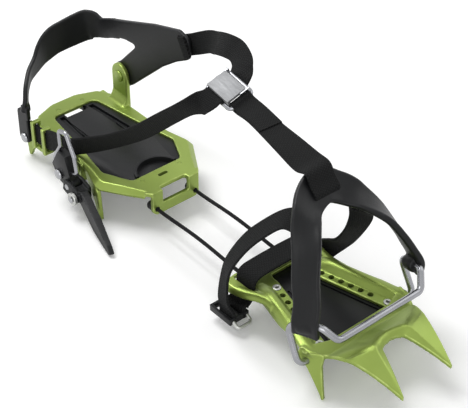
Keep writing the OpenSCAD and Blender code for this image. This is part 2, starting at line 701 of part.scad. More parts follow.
module toe_yoke() {
  points = smooth(concat(yoke_points_half, reversed(mirrored([for (i = [0:5]) yoke_points_half[i]]))), 2);
  across = smooth(concat(yoke_across_half, reversed(mirrored([for (i = [0:5]) yoke_across_half[i]]))), 2);
  flat_widths = concat(yoke_widths_half, reversed([for (i = [0:5]) yoke_widths_half[i]]));
  widths = smooth(flat_widths, 2);
  color(moulding)
    difference() {
      union() {
        band(points, across, widths, yoke_t);
        on_both_sides() yoke_saddle();
      }
      on_both_sides() bar(saddle_a, saddle_b, bail_d + 2 * run_gap);
      translate([crown_x, 0, crown_z])
        rotate([0, crown_lean, 0])
          translate([1.5, 0, 0]) cube([yoke_slot[0], yoke_slot[1], 3 * yoke_t], center = true);
    }
}

module forefoot_strap_near() {
  color(webbing) strap(near_strap_route, near_strap_across, strap_w);
}

module forefoot_strap_far() {
  color(webbing) strap(far_strap_route, far_strap_across, strap_w);
}

module forefoot_strap_under() {
  middle = concat(mirrored(reversed(under_strap_half)), [for (i = [1:4]) under_strap_half[i]]);
  route = concat(reversed(under_strap_near), middle, under_strap_far);
  color(webbing) strap(route, [for (p = route) [1, 0, 0]], strap_w);
}

module ladder_buckle() {
  color(moulding)
    translate(ladder_at)
      difference() {
        cube([2 * ladder_half[0], 2 * ladder_half[1], ladder_t], center = true);
        for (side = [-1, 1])
          translate([0, side * ladder_window_y, 0])
            cube([ladder_window[0], ladder_window[1], 2 * ladder_t], center = true);
      }
}

module ladder_ring() {
  front = ladder_at[0] + ladder_half[0];
  y = ladder_at[1];
  z = ladder_at[2];
  color(pale)
    bent_wire([
      [front - 1, y - 4.5, z], [front + 4.5, y - 4.5, z - 2.4],
      [front + 4.5, y + 5.5, z - 2.4], [front - 1, y + 5.5, z]
    ], ring_d, 2);
}

// Route of the far cord, from the heel plate's front flange to the bar under the toe plate
cord_route = [for (i = [0:14])
  let (
    t = i / 14,
    x = cord_heel_x + (cord_toe_x - cord_heel_x) * t,
    bowed = max(0, 1 - pow((x + 18) / 36, 2))
  )
  [x, cord_half, cord_z + cord_bow * bowed * bowed]];

module cord_near() {
  color(webbing) cord(mirrored(cord_route), cord_d);
}

module cord_far() {
  color(webbing) cord(cord_route, cord_d);
}

module cord_bar() {
  color(silver)
    difference() {
      translate([cord_toe_x - cord_bar_l / 2, -cord_bar_w / 2, cord_bar_bottom])
        cube([cord_bar_l, cord_bar_w, cord_bar_top - cord_bar_bottom]);
      on_both_sides()
        translate([cord_toe_x - cord_bar_l, cord_half, cord_z])
          rotate([0, 90, 0]) cylinder(h = cord_bar_l, d = cord_d + 2 * run_gap);
    }
}

module cord_stoppers() {
  color(webbing)
    on_both_sides() {
      translate([stopper_x, cord_half, cord_z]) sphere(d = stopper_d);
      translate([stopper_x, cord_half, cord_z]) rotate([0, 90, 0])
        cylinder(h = cord_heel_x - stopper_x, d = cord_d);
    }
}

// Ring outline of the heel plate, one half
heel_outer = [
  [heel_rear_x, 0], [heel_rear_x, 10], [heel_rear_x + 5.5, heel_half - 6], [heel_rear_x + 16, heel_half],
  [heel_flare_x, heel_half], [heel_corner_x, heel_half + heel_flare],
  [heel_corner_x + 5, heel_half + heel_flare - 0.6],
  [heel_front_x - 2, 21], [heel_front_x, front_flange_half], [heel_front_x, 0]
];
function heel_opening(inset) = let (side = heel_half - ring_side - inset) [
  [open_rear_x + inset, 0], [open_rear_x + inset, 13], [open_rear_x + 6 + inset, side - 2.5],
  [heel_flare_x - 2, side],
  [-97, side + heel_flare - 2.5], [open_front_x - inset, 19], [open_front_x - inset, 0]
];

// Point of the heel plate bent down along its flared edge
module heel_front_point() {
  blade = [
    [1.5, heel_z - 0.6], [flare_l, heel_z - 0.6], [flare_l + 3.6, heel_bottom - 1], [flare_l + 4.2, 10],
    [flare_l + 5.2, 0], [flare_l + 3.8, 0], [flare_l - 3, 8], [flare_l - 13, 15.5], [5, 19], [1.5, 20.5]
  ];
  translate([heel_flare_x, heel_half, 0])
    rotate([0, 0, flare_turn])
      upright(-edge_inset, heel_sheet) polygon(blade);
}

// Rear point and its slotted flange, bent down along the straight side
module heel_rear_point() {
  top = heel_z - 0.6;
  drop = heel_z / cos(rear_splay);
  blade = [
    [-178.4, top], [-155.6, top], [-155.6, 11], [-158.5, 8.6],
    [-169, 8.2], [-171.8, 5], [-174, heel_z - drop],
    [-175.2, heel_z - drop], [-178.4, 9]
  ];
  translate([0, heel_half - edge_inset, heel_z])
    rotate([rear_splay, 0, 0])
      translate([0, 0, -heel_z])
        upright(0, heel_sheet)
          difference() {
            polygon(blade);
            translate([-171, 11.6]) square([11, heel_bottom - 13]);
          }
}

module heel_front_flange() {
  top = heel_z - 0.6;
  translate([heel_front_x, 0, 0])
    rotate([90, 0, 90])
      linear_extrude(heel_sheet)
        difference() {
          polygon([
            [-front_flange_half, top], [front_flange_half, top], [front_flange_half, cord_z - 2],
            [front_flange_half - 3, front_flange_bottom], [-front_flange_half + 3, front_flange_bottom],
            [-front_flange_half, cord_z - 2]
          ]);
          translate([-window_half, window_z[0]]) square([2 * window_half, heel_z]);
        }
}

module heel_plate() {
  color(green)
    difference() {
      union() {
        translate([0, 0, heel_bottom])
          linear_extrude(heel_sheet)
            difference() {
              polygon(both_sides(heel_outer));
              polygon(both_sides(heel_opening(0)));
              translate([-73, -3.5]) square([2.6, 7]);
              translate([heel_front_x - window_notch + heel_sheet, -window_half]) square([4, 2 * window_half]);
            }
        on_both_sides() {
          heel_front_point();
          heel_rear_point();
        }
        heel_front_flange();
        upright(post_out, heel_sheet)
          polygon(concat(
            [[post_x - post_top_r, heel_bottom + 0.6], [post_x + post_top_r, heel_bottom + 0.6]],
            [for (i = [0:16]) let (a = 180 * i / 16)
              [post_x + post_top_r * cos(a), heel_z + post_rise - post_top_r * (1 - sin(a))]]
          ));
        translate([lug_x[0], lug_out, 12])
          cube([lug_x[1] - lug_x[0], heel_sheet + 1.5, heel_z - 0.6 - 12]);
      }
      on_both_sides()
        translate([heel_front_x - 2, cord_half, cord_z])
          rotate([0, 90, 0]) cylinder(h = heel_sheet + 4, d = cord_d + 1.4);
      cross_pin([post_x, cradle_rivet_z], post_in - 2, post_out + 2, rivet_d + 2 * run_gap);
      cross_pin(tail_rivet_at, -heel_half - 8, -heel_half + 8, rivet_d + 2 * run_gap);
      cross_pin(lever_rivet_at, lug_out - 1, lug_out + 8, lever_pin_d);
      for (at = heel_rivets_at)
        translate([at[0], at[1], heel_bottom - 1])
          cylinder(h = heel_sheet + 2, d = heel_rivet_d + 2 * run_gap);
    }
}

module heel_snow_plate() {
  side = heel_half - ring_side;
  lap = [
    [-175.4, 0], [-175.4, 13.5], [-166.5, side - 1.5],
    [heel_flare_x - 2, side + 1.8], [-97, side + heel_flare - 1],
    [-82, 22], [-70, 17.6], [-70, 0]
  ];
  body = heel_opening(heel_snow_fit);
  body_h = heel_sheet + heel_snow_rise;
  color(moulding)
    difference() {
      union() {
        translate([0, 0, heel_bottom - heel_snow_t]) linear_extrude(heel_snow_t) polygon(both_sides(lap));
        translate([0, 0, heel_bottom - 0.5])
          linear_extrude(body_h - heel_sheet + 0.5) polygon(both_sides(body));
        intersection() {
          translate([0, 0, heel_bottom - 0.5])
            linear_extrude(body_h + arch_lip_rise - heel_sheet + 0.5) polygon(both_sides(body));
          translate([arch_at[0], arch_at[1], 0]) cylinder(h = 2 * heel_z, r = arch_r + arch_lip);
        }
      }
      translate([arch_at[0], arch_at[1], heel_bottom]) cylinder(h = heel_z, r = arch_r);
      translate([open_rear_x + 1, -8.5, 0]) cube([3.6, 17, 2 * heel_z]);
      for (y = [-12, 11])
        translate([open_rear_x + 8, y, heel_bottom + heel_snow_rise - 1]) cube([36, 1.4, heel_z]);
      for (at = heel_rivets_at)
        translate([at[0], at[1], 0]) cylinder(h = 2 * heel_z, d = heel_rivet_d + 2 * run_gap);
    }
}

module heel_rivets() {
  bottom = heel_bottom - heel_snow_t - heel_rivet_lip;
  color(silver)
    for (at = heel_rivets_at)
      translate([at[0], at[1], bottom]) {
        cylinder(h = heel_z - bottom - 0.1, d = heel_rivet_d);
        cylinder(h = heel_rivet_lip, d = heel_rivet_head);
      }
}

module heel_cradle() {
  path = smooth(cradle_band, 2);
  color(moulding)
    difference() {
      union() {
        translate([0, 0, cradle_lift])
          upright(cradle_y + cradle_t, cradle_t)
            difference() {
              union() {
                polygon(cradle_outline);
                translate([post_x, 46]) circle(r = cradle_end_r);
              }
              translate(cradle_slot_at) rotate(cradle_slot_lean) square(cradle_slot, center = true);
            }
        translate([0, 0, cradle_lift])
          band(path, [for (p = path) [0, 0, 1]], smooth(cradle_band_widths, 2), cradle_t);
        translate([-174.2, tail_y, tail_pad_z + tail_pad[1] + cradle_lift])
          cube([7, cradle_t, 8], center = true);
        translate([-175.6, tail_y, tail_pad_z + tail_pad[1] / 2])
          cube([tail_pad[0], cradle_t, tail_pad[1]], center = true);
      }
      cross_pin([post_x, cradle_rivet_z], cradle_y - 1, cradle_y + cradle_t + 1, rivet_d + 2 * run_gap);
      cross_pin(tail_rivet_at, tail_y - cradle_t, tail_y + cradle_t, rivet_d + 2 * run_gap);
    }
}

module cradle_washer() {
  at = [post_x, cradle_rivet_z];
  outer = cradle_y + cradle_t;
  color(silver)
    difference() {
      cross_pin(at, outer, outer + 1, 2 * rivet_d + 1);
      cross_pin(at, outer - 1, outer + 2, rivet_d + 2 * run_gap);
    }
}

module cradle_rivet() {
  at = [post_x, cradle_rivet_z];
  outer = cradle_y + cradle_t + 1;
  color(silver) {
    cross_pin(at, post_in - rivet_head, outer + rivet_head, rivet_d);
    cross_pin(at, post_in - rivet_head, post_in, 2 * rivet_d);
    cross_pin(at, outer, outer + rivet_head, 2 * rivet_d - 1);
  }
}

module tail_rivet() {
  outer = tail_y - cradle_t / 2;
  inner = -heel_half + heel_sheet;
  color(silver) {
    cross_pin(tail_rivet_at, outer - rivet_head, inner + 1, rivet_d);
    cross_pin(tail_rivet_at, outer - rivet_head, outer, 2 * rivet_d - 1.2);
  }
}

module ankle_strap_near() {
  color(webbing) strap(ankle_near_route, ankle_near_across, ankle_w);
}

module ankle_strap_far() {
  color(webbing) strap(ankle_far_route, ankle_far_across, ankle_w);
}

module connecting_strap() {
  path = smooth(connecting_route, strap_steps);
  widths = strap_w * smooth(connecting_widths, strap_steps);
  color(webbing) band(path, smooth(connecting_across, strap_steps), widths, web_t);
}

// Places its children in the buckle's own frame
module at_buckle() {
  translate(buckle_at) rotate(buckle_turn) children();
}

module buckle_frame() {
  x = buckle_half[0];
  y = buckle_half[1];
  color(silver)
    at_buckle()
      difference() {
        union() {
          bent_wire(
            [[0, -y, 0], [x, -y, 0], [x, y, 0], [-x, y, 0], [-x, -y, 0], [0, -y, 0]], buckle_bar, 2.4
          );
          for (side = [-1, 1])
            translate([side > 0 ? cheek_x : -cheek_x - cheek_t, flap_pin_at[0] - 3, -0.8])
              cube([cheek_t, y - flap_pin_at[0] + 3, flap_pin_at[1] + 3]);
        }
        translate([-x, flap_pin_at[0], flap_pin_at[1]])
          rotate([0, 90, 0]) cylinder(h = 2 * x, d = flap_pin_d);
      }
}

module buckle_pin() {
  reach = cheek_x + cheek_t;
  color(silver)
    at_buckle()
      translate([-reach, flap_pin_at[0], flap_pin_at[1]])
        rotate([0, 90, 0]) cylinder(h = 2 * reach, d = flap_pin_d);
}

module buckle_flap() {
  color(silver)
    at_buckle()
      difference() {
        union() {
          translate([-flap_l / 2, -flap_w / 2, flap_z]) cube([flap_l, flap_w - 1, flap_t]);
          translate([-flap_l / 2, flap_pin_at[0], flap_pin_at[1]])
            rotate([0, 90, 0]) cylinder(h = flap_l, d = 4.4);
          translate([-flap_l / 2, -flap_w / 2, flap_z - 1.6]) cube([flap_l, 1.6, 2]);
        }
        translate([-flap_l, flap_pin_at[0], flap_pin_at[1]])
          rotate([0, 90, 0]) cylinder(h = 2 * flap_l, d = flap_pin_d + 2 * run_gap);
      }
}

module lever_rivet() {
  outer = block_y - block_t - gap;
  color(silver) {
    cross_pin(lever_rivet_at, outer - rivet_head, lug_out + heel_sheet + 2.5, lever_pin_d);
    cross_pin(lever_rivet_at, outer - rivet_head, outer, lever_pin_d + 3);
  }
}

module lever_block() {
  color(moulding)
    difference() {
      union() {
        upright(block_y, block_t)
          union() {
            polygon(block_outline);
            translate(lever_pin_at) circle(r = block_eye);
          }
        cross_pin(lever_rivet_at, lug_out - gap, block_y, 2 * lever_pin_d);
      }
      cross_pin(lever_rivet_at, lug_out + 1, block_y - block_t - 1, lever_pin_d + 2 * run_gap);
      cross_pin(lever_pin_at, block_y + 1, block_y - block_t - 1, lever_pin_d);
      for (i = [0, len(frame_path) - 2])
        bar(frame_point(i), frame_point(i + 1), frame_d);
    }
}

function frame_point(i) = [frame_path[i][0], block_mid, frame_path[i][1]];

module lever_frame_wire() {
  color(silver) bent_wire([for (i = [0:len(frame_path) - 1]) frame_point(i)], frame_d, frame_bend);
}

module lever_pin() {
  color(silver)
    cross_pin(lever_pin_at, block_y + gap + fork_t, block_y - block_t - gap - fork_t, lever_pin_d);
}

// Lever, drawn with its pin at the origin, pointing along X
module lever_body() {
  fork_end = fork_l + 2.2;
  fork = [[-4.6, -3.6], [-2.6, 4.4], [3.4, 4.4], [fork_end, 1.6], [fork_end, -6.4], [-1, -5]];
  neck = [[fork_l - 3.2, -5], [fork_l - 3.2, 2.2], [fork_l + 3.4, 0], [fork_l + 3.4, -5.6]];
  tail = [
    [-2, -6.6], [-2, 1.4], [9, -2], [26, -6.6], [lever_l - fork_l - 3, -12.2], [lever_l - fork_l, -14],
    [lever_l - fork_l - 1, -16], [lever_l - fork_l - 8, -15.6], [24, -13.6], [9, -9.4]
  ];
  inner = block_y + gap + fork_t;
  outer = block_y - block_t - gap - fork_t;
  color(moulding)
    translate([lever_pin_at[0], 0, lever_pin_at[1]])
      difference() {
        union() {
          upright(inner, fork_t) polygon(fork);
          upright(outer + fork_t, fork_t) polygon(fork);
          upright(block_mid + tail_t / 2 + 2.2, tail_t + 4.4) polygon(neck);
          translate([fork_l, block_mid, 0])
            rotate([0, 0, tail_turn]) upright(tail_t / 2, tail_t) polygon(tail);
        }
        cross_pin([0, 0], inner + 1, outer - 1, lever_pin_d + 2 * run_gap);
        cross_pin(dial_at, outer + fork_t + 0.2, outer - 1, dial_pin_d);
        translate([fork_l, block_mid, 0])
          rotate([0, 0, tail_turn]) cross_pin([lever_l - fork_l - 4.5, -13.8], tail_t, -tail_t, 2);
      }
}

module dial_pin() {
  at = lever_pin_at + dial_at;
  outer = block_y - block_t - gap - fork_t;
  color(silver) {
    cross_pin(at, outer - dial_t - 2 * gap, outer + fork_t, dial_pin_d);
    cross_pin(at, outer - dial_t - 2 * gap - 0.8, outer - dial_t - 2 * gap, dial_pin_d + 1.4);
  }
}

module lever_dial() {
  at = lever_pin_at + dial_at;
  outer = block_y - block_t - gap - fork_t;
  color(pale)
    difference() {
      cross_pin(at, outer - gap, outer - gap - dial_t, dial_d);
      cross_pin(at, outer + 1, outer - gap - dial_t - 1, dial_pin_d + 2 * run_gap);
    }
}

toe_plate();
toe_snow_plate();
toe_eyelets();
toe_bail_wire();
toe_yoke();
forefoot_strap_near();
forefoot_strap_far();
forefoot_strap_under();
ladder_buckle();
ladder_ring();
cord_near();
cord_far();
cord_bar();
cord_stoppers();
heel_plate();
heel_snow_plate();
heel_rivets();
heel_cradle();
cradle_rivet();
cradle_washer();
tail_rivet();
ankle_strap_near();
ankle_strap_far();
connecting_strap();
buckle_frame();
buckle_pin();
buckle_flap();
lever_rivet();
lever_block();
lever_frame_wire();
lever_pin();
lever_body();
dial_pin();
lever_dial();
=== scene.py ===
import math

import bmesh
import bpy
from mathutils import Matrix, Vector


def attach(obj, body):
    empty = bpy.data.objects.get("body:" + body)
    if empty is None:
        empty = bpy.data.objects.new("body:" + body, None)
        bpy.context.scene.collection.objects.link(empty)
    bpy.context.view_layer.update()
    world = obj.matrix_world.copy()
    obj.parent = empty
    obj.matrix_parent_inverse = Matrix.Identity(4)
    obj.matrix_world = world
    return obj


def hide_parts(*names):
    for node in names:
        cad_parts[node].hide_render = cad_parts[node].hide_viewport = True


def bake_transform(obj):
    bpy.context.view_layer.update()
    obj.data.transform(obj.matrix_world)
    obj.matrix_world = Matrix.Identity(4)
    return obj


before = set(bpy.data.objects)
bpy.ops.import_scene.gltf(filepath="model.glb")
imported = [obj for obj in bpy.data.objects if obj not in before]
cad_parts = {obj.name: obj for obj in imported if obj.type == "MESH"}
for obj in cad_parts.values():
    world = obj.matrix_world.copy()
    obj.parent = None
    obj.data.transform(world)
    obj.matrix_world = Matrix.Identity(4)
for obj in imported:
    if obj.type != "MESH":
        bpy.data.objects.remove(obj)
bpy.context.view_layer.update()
scene = bpy.context.scene
MM = 0.001

# Camera, table and lamps
# The photograph's view, from above the toe's near side, over a white table top.
# A key lamp hangs over the heel, weaker lamps stand behind and in front, and the white room fills in
# the rest. The table keeps the shadows near the part and fades to white further out.
VIEW_AZIMUTH = math.radians(49.71)
VIEW_ELEVATION = math.radians(37.84)
VIEW_DISTANCE = 836.03
VIEW_TARGET = Vector((-14.01, 9.12, 32.47))
LENS = 107.55
SENSOR = 36.0
ROOM_LIGHT = 0.34
TABLE_SIZE = 6.0
TABLE_Z = -0.0003
TABLE_TONE = 0.94
TABLE_LIFT = 0.14
TABLE_FADE = {"From Min": 0.3, "From Max": 1.1, "To Max": 0.8}
LAMPS = [
    ("key_lamp", (-0.6, -0.1, 1.15), 0.7, 11.5),
    ("back_lamp", (0.25, 0.9, 0.8), 0.7, 1.8),
    ("front_lamp", (0.75, -0.85, 0.55), 0.8, 3.6)]


def new_object(name, data):
    made = bpy.data.objects.new(name, data)
    scene.collection.objects.link(made)
    return made


def add_node(tree, kind, inputs=None, **settings):
    made = tree.nodes.new(kind)
    for key, value in settings.items():
        setattr(made, key, value)
    for key, value in (inputs or {}).items():
        if isinstance(value, bpy.types.NodeSocket):
            tree.links.new(value, made.inputs[key])
        else:
            made.inputs[key].default_value = value
    return made


def calc(tree, operation, a, b=0.0):
    return add_node(tree, "ShaderNodeMath", {0: a, 1: b}, operation=operation).outputs[0]


def seen_directly(tree):
    light_path = add_node(tree, "ShaderNodeLightPath").outputs
    mirrored = calc(tree, "MAXIMUM", light_path["Is Glossy Ray"], light_path["Is Transmission Ray"])
    return calc(tree, "MAXIMUM", light_path["Is Camera Ray"], mirrored)


view_direction = Vector((
    math.cos(VIEW_ELEVATION) * math.sin(VIEW_AZIMUTH),
    -math.cos(VIEW_ELEVATION) * math.cos(VIEW_AZIMUTH),
    math.sin(VIEW_ELEVATION),
))
camera_data = bpy.data.cameras.new("camera")
camera_data.lens = LENS
camera_data.sensor_width = SENSOR
camera_data.sensor_fit = "HORIZONTAL"
camera = new_object("camera", camera_data)
camera.location = (VIEW_TARGET + view_direction * VIEW_DISTANCE) * MM
camera.rotation_euler = (-view_direction).to_track_quat("-Z", "Y").to_euler()
scene.camera = camera
scene.view_settings.view_transform = "Standard"

room = bpy.data.worlds.new("white_room")
room.use_nodes = True
scene.world = room
room_tree = room.node_tree
room_strength = calc(
    room_tree, "ADD", calc(room_tree, "MULTIPLY", seen_directly(room_tree), 1 - ROOM_LIGHT), ROOM_LIGHT)
room_tree.nodes["Background"].inputs["Color"].default_value = (1, 1, 1, 1)
room_tree.links.new(room_strength, room_tree.nodes["Background"].inputs["Strength"])

bpy.ops.object.select_all(action="DESELECT")
bpy.ops.mesh.primitive_plane_add(size=TABLE_SIZE, location=(0, 0, TABLE_Z))
table = bpy.context.object
table.name = "table_top"
table_finish = bpy.data.materials.new("table_white")
table_finish.use_nodes = True
table_tree = table_finish.node_tree
table_tree.nodes.clear()
table_spot = add_node(table_tree, "ShaderNodeNewGeometry").outputs["Position"]
table_reach = add_node(
    table_tree, "ShaderNodeVectorMath", {0: table_spot}, operation="LENGTH").outputs["Value"]
table_far = add_node(
    table_tree, "ShaderNodeMapRange", {"Value": table_reach, **TABLE_FADE},
    interpolation_type="SMOOTHSTEP").outputs[0]
table_white = calc(table_tree, "ADD", table_far, TABLE_LIFT)
table_paint = add_node(
    table_tree, "ShaderNodeBsdfDiffuse", {"Color": (TABLE_TONE, TABLE_TONE, TABLE_TONE, 1)}).outputs[0]
table_shine = calc(table_tree, "MULTIPLY", seen_directly(table_tree), table_white)
table_glow = add_node(table_tree, "ShaderNodeEmission", {"Strength": table_shine}).outputs[0]
table_both = add_node(table_tree, "ShaderNodeAddShader", {0: table_paint, 1: table_glow}).outputs[0]
add_node(table_tree, "ShaderNodeOutputMaterial", {"Surface": table_both})
table.data.materials.append(table_finish)

for lamp_name, lamp_at, lamp_size, lamp_power in LAMPS:
    lamp_data = bpy.data.lights.new(lamp_name, "AREA")
    lamp_data.size = lamp_size
    lamp_data.energy = lamp_power
    lamp = new_object(lamp_name, lamp_data)
    lamp.location = lamp_at
    lamp.rotation_euler = (-Vector(lamp_at)).to_track_quat("-Z", "Y").to_euler()

# Link cords
# Two braided black cords that join the heel section to the toe section, stiff and pulled straight.
# Each ends in a crimped stopper behind the heel's front flange and in a steel bar under the toe plate.
CORD_D = 2.4
CORD_HALF = 15.0
CORD_Z = 14.2
CORD_ENDS = (-58.5, 64.0)
CORD_BOW = 1.5
CORD_BOW_X = -18.0
CORD_BOW_HALF = 36.0
CORD_STEPS = 36
STOPPER_X = -63.6
UV_MM = 10.0
SOFT_ANGLE = math.radians(50)
MARKED_ANGLE = math.radians(40)
CRISP_ANGLE = math.radians(35)
FLAT_ANGLE = math.radians(0.6)
WELD = 2e-6


def srgb(red, green, blue):
    def linear(value):
        share = value / 255
        return share / 12.92 if share <= 0.04045 else ((share + 0.055) / 1.055) ** 2.4
    return (linear(red), linear(green), linear(blue), 1.0)


def new_group(name, inputs, outputs):
    tree = bpy.data.node_groups.new(name, "ShaderNodeTree")
    for socket_name, kind, value in inputs:
        socket = tree.interface.new_socket(socket_name, in_out="INPUT", socket_type=kind)
        socket.default_value = value
    for socket_name, kind in outputs:
        tree.interface.new_socket(socket_name, in_out="OUTPUT", socket_type=kind)
    return tree, add_node(tree, "NodeGroupInput").outputs, add_node(tree, "NodeGroupOutput").inputs


def mixed(tree, share, first, second):
    return add_node(tree, "ShaderNodeMix", {0: share, 6: first, 7: second}, data_type="RGBA").outputs[2]


def noise(tree, where, scale, detail=3.0):
    return add_node(
        tree, "ShaderNodeTexNoise", {"Vector": where, "Scale": scale, "Detail": detail}).outputs["Fac"]


def new_finish(name, metallic=0.0, roughness=0.5, **constants):
    finish = bpy.data.materials.new(name)
    finish.use_nodes = True
    shader = finish.node_tree.nodes["Principled BSDF"].inputs
    shader["Metallic"].default_value = metallic
    shader["Roughness"].default_value = roughness
    for key, value in constants.items():
        shader[key.replace("_", " ")].default_value = value
    return finish, finish.node_tree, shader


def bumped(tree, shader, height, depth):
    bump = add_node(tree, "ShaderNodeBump", {"Height": height, "Distance": depth * MM})
    tree.links.new(bump.outputs["Normal"], shader["Normal"])


# Webbing and braid are woven from yarns that pass over and under each other: the group gives the
# height of the yarns and a painted shade, darker in the hollows between yarns and lighter on their tops,
# broken by fine fuzz, from a UV map in centimetres, across and along the piece.
weave, weave_in, weave_out = new_group(
    "yarn_weave",
    [("Across mm", "NodeSocketFloat", 1.2), ("Along mm", "NodeSocketFloat", 1.6),
     ("Skew", "NodeSocketFloat", 0.0)],
    [("Height", "NodeSocketFloat"), ("Painted shade and fuzz", "NodeSocketFloat")],
)
weave_uv = add_node(
    weave, "ShaderNodeSeparateXYZ", {0: add_node(weave, "ShaderNodeTexCoord").outputs["UV"]}).outputs
weave_u = calc(weave, "DIVIDE", calc(weave, "MULTIPLY", weave_uv[0], UV_MM), weave_in["Across mm"])
weave_v = calc(weave, "DIVIDE", calc(weave, "MULTIPLY", weave_uv[1], UV_MM), weave_in["Along mm"])
weave_v = calc(weave, "ADD", weave_v, calc(weave, "MULTIPLY", weave_u, weave_in["Skew"]))
weave_step = calc(weave, "MULTIPLY", calc(weave, "MODULO", calc(weave, "FLOOR", weave_u), 2.0), 0.5)
yarn_along = calc(weave, "ABSOLUTE", calc(
    weave, "SINE", calc(weave, "MULTIPLY", calc(weave, "ADD", weave_v, weave_step), math.pi)))
yarn_across = calc(weave, "ABSOLUTE", calc(weave, "SINE", calc(weave, "MULTIPLY", weave_u, math.pi)))
yarn_height = calc(
    weave, "MULTIPLY", calc(weave, "POWER", yarn_along, 0.7), calc(weave, "POWER", yarn_across, 0.6))
yarn_fuzz = noise(weave, add_node(weave, "ShaderNodeTexCoord").outputs["Object"], 900.0)
weave.links.new(yarn_height, weave_out["Height"])
weave.links.new(
    calc(weave, "MULTIPLY", yarn_height, calc(weave, "ADD", yarn_fuzz, 0.35)), weave_out["Painted shade and fuzz"])


def woven_finish(name, dark, light, across, along, skew, depth):
    finish, tree, shader = new_finish(name, roughness=0.8, Specular_IOR_Level=0.16)
    sizes = {"Across mm": across, "Along mm": along, "Skew": skew}
    yarns = add_node(tree, "ShaderNodeGroup", sizes, node_tree=weave).outputs
    # The dark colour goes in the hollows between yarns and the light one on their tops: painted shade in
    # the weave, with fine fuzz.
    tree.links.new(mixed(tree, yarns["Painted shade and fuzz"], srgb(*dark), srgb(*light)), shader["Base Color"])
    bumped(tree, shader, yarns["Height"], depth)
    return finish


def skin(name, rings, around, along):
    count = len(rings[0])
    verts = [tuple(p * MM) for ring in rings for p in ring]
    faces = []
    uvs = []
    for i in range(len(rings) - 1):
        for j in range(count):
            k = (j + 1) % count
            faces.append((i * count + j, i * count + k, (i + 1) * count + k, (i + 1) * count + j))
            uvs += [(around[j], along[i]), (around[j + 1], along[i]),
                    (around[j + 1], along[i + 1]), (around[j], along[i + 1])]
    last = (len(rings) - 1) * count
    faces.append(tuple(reversed(range(count))))
    uvs += [(around[j], along[0]) for j in reversed(range(count))]
    faces.append(tuple(range(last, last + count)))
    uvs += [(around[j], along[-1]) for j in range(count)]
    mesh = bpy.data.meshes.new(name)
    mesh.from_pydata(verts, [], faces)
    layer = mesh.uv_layers.new(name="along_piece")
    for corner, uv in zip(layer.data, uvs):
        corner.uv = uv
    piece = new_object(name, mesh)
    face_outward(piece)
    bpy.ops.object.shade_smooth_by_angle(angle=SOFT_ANGLE)
    return piece


def only(piece):
    bpy.ops.object.select_all(action="DESELECT")
    piece.select_set(True)
    bpy.context.view_layer.objects.active = piece


def face_outward(piece):
    only(piece)
    bpy.ops.object.mode_set(mode="EDIT")
    bpy.ops.mesh.select_all(action="SELECT")
    bpy.ops.mesh.normals_make_consistent(inside=False)
    bpy.ops.object.mode_set(mode="OBJECT")


def lengths_along(route):
    total = [0.0]
    for a, b in zip(route, route[1:]):
        total.append(total[-1] + (b - a).length)
    return total


def tangent(route, i):
    return (route[min(i + 1, len(route) - 1)] - route[max(i - 1, 0)]).normalized()


def tube(name, route, diameter, sides=20):
    side = tangent(route, 0).orthogonal().normalized()
    rings = []
    for i, point in enumerate(route):
        along = tangent(route, i)
        side = (side - along * side.dot(along)).normalized()
        up = along.cross(side)
        turns = [2 * math.pi * j / sides for j in range(sides)]
        rings.append([point + (side * math.cos(a) + up * math.sin(a)) * diameter / 2 for a in turns])
    around = [math.pi * diameter * j / sides / UV_MM for j in range(sides + 1)]
    return skin(name, rings, around, [v / UV_MM for v in lengths_along(route)])


def fit(piece, finish, slot, body, *nodes):
    piece.data.materials.clear()
    piece.data.materials.append(finish)
    if nodes:
        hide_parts(*nodes)
    if body:
        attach(piece, body)


braid_black = woven_finish(
    "braid_black", (10, 10, 11), (46, 46, 48), across=0.8, along=1.1, skew=0.5, depth=0.12)
cord_route = []
for i in range(CORD_STEPS + 1):
    cord_x = CORD_ENDS[0] + (CORD_ENDS[1] - CORD_ENDS[0]) * i / CORD_STEPS
    bowed = max(0.0, 1 - ((cord_x - CORD_BOW_X) / CORD_BOW_HALF) ** 2)
    cord_route.append(Vector((cord_x, CORD_HALF, CORD_Z + CORD_BOW * bowed * bowed)))
for cord_name, cord_side in (("cord_near", -1), ("cord_far", 1)):
    route = [Vector((p.x, p.y * cord_side, p.z)) for p in cord_route]
    cord = tube(cord_name + "_braid", route, CORD_D)
    fit(cord, braid_black, "webbing", "link", cord_name)


def placing(at, axis):
    turn = Vector((0, 0, 1)).rotation_difference(Vector(axis)).to_matrix().to_4x4()
    return Matrix.Translation(Vector(at) * MM) @ turn


def turned(name, profile, at, axis, steps=40, hollow=False):
    bpy.ops.object.select_all(action="DESELECT")
    first_r, first_h = profile[0]
    bpy.ops.mesh.primitive_circle_add(
        vertices=steps, radius=first_r * MM, fill_type="NOTHING" if hollow else "NGON",
        location=(0, 0, first_h * MM))
    piece = bpy.context.object
    piece.name = name
    bpy.ops.object.mode_set(mode="EDIT")
    bpy.ops.mesh.select_all(action="SELECT")
    for (r0, h0), (r1, h1) in zip(profile, profile[1:]):
        bpy.ops.mesh.extrude_region_move(TRANSFORM_OT_translate={"value": (0, 0, (h1 - h0) * MM)})
        bpy.ops.transform.resize(value=(r1 / r0, r1 / r0, 1), center_override=(0, 0, h1 * MM))
    bpy.ops.mesh.select_all(action="SELECT")
    bpy.ops.mesh.remove_doubles(threshold=1e-6)
    bpy.ops.object.mode_set(mode="OBJECT")
    face_outward(piece)
    piece.data.transform(placing(at, axis) @ piece.matrix_world)
    piece.matrix_world = Matrix.Identity(4)
    bpy.ops.object.shade_smooth_by_angle(angle=CRISP_ANGLE)
    return piece


def joined(name, pieces):
    only(pieces[0])
    for piece in pieces:
        piece.select_set(True)
    if len(pieces) > 1:
        bpy.ops.object.join()
    pieces[0].name = name
    return pieces[0]


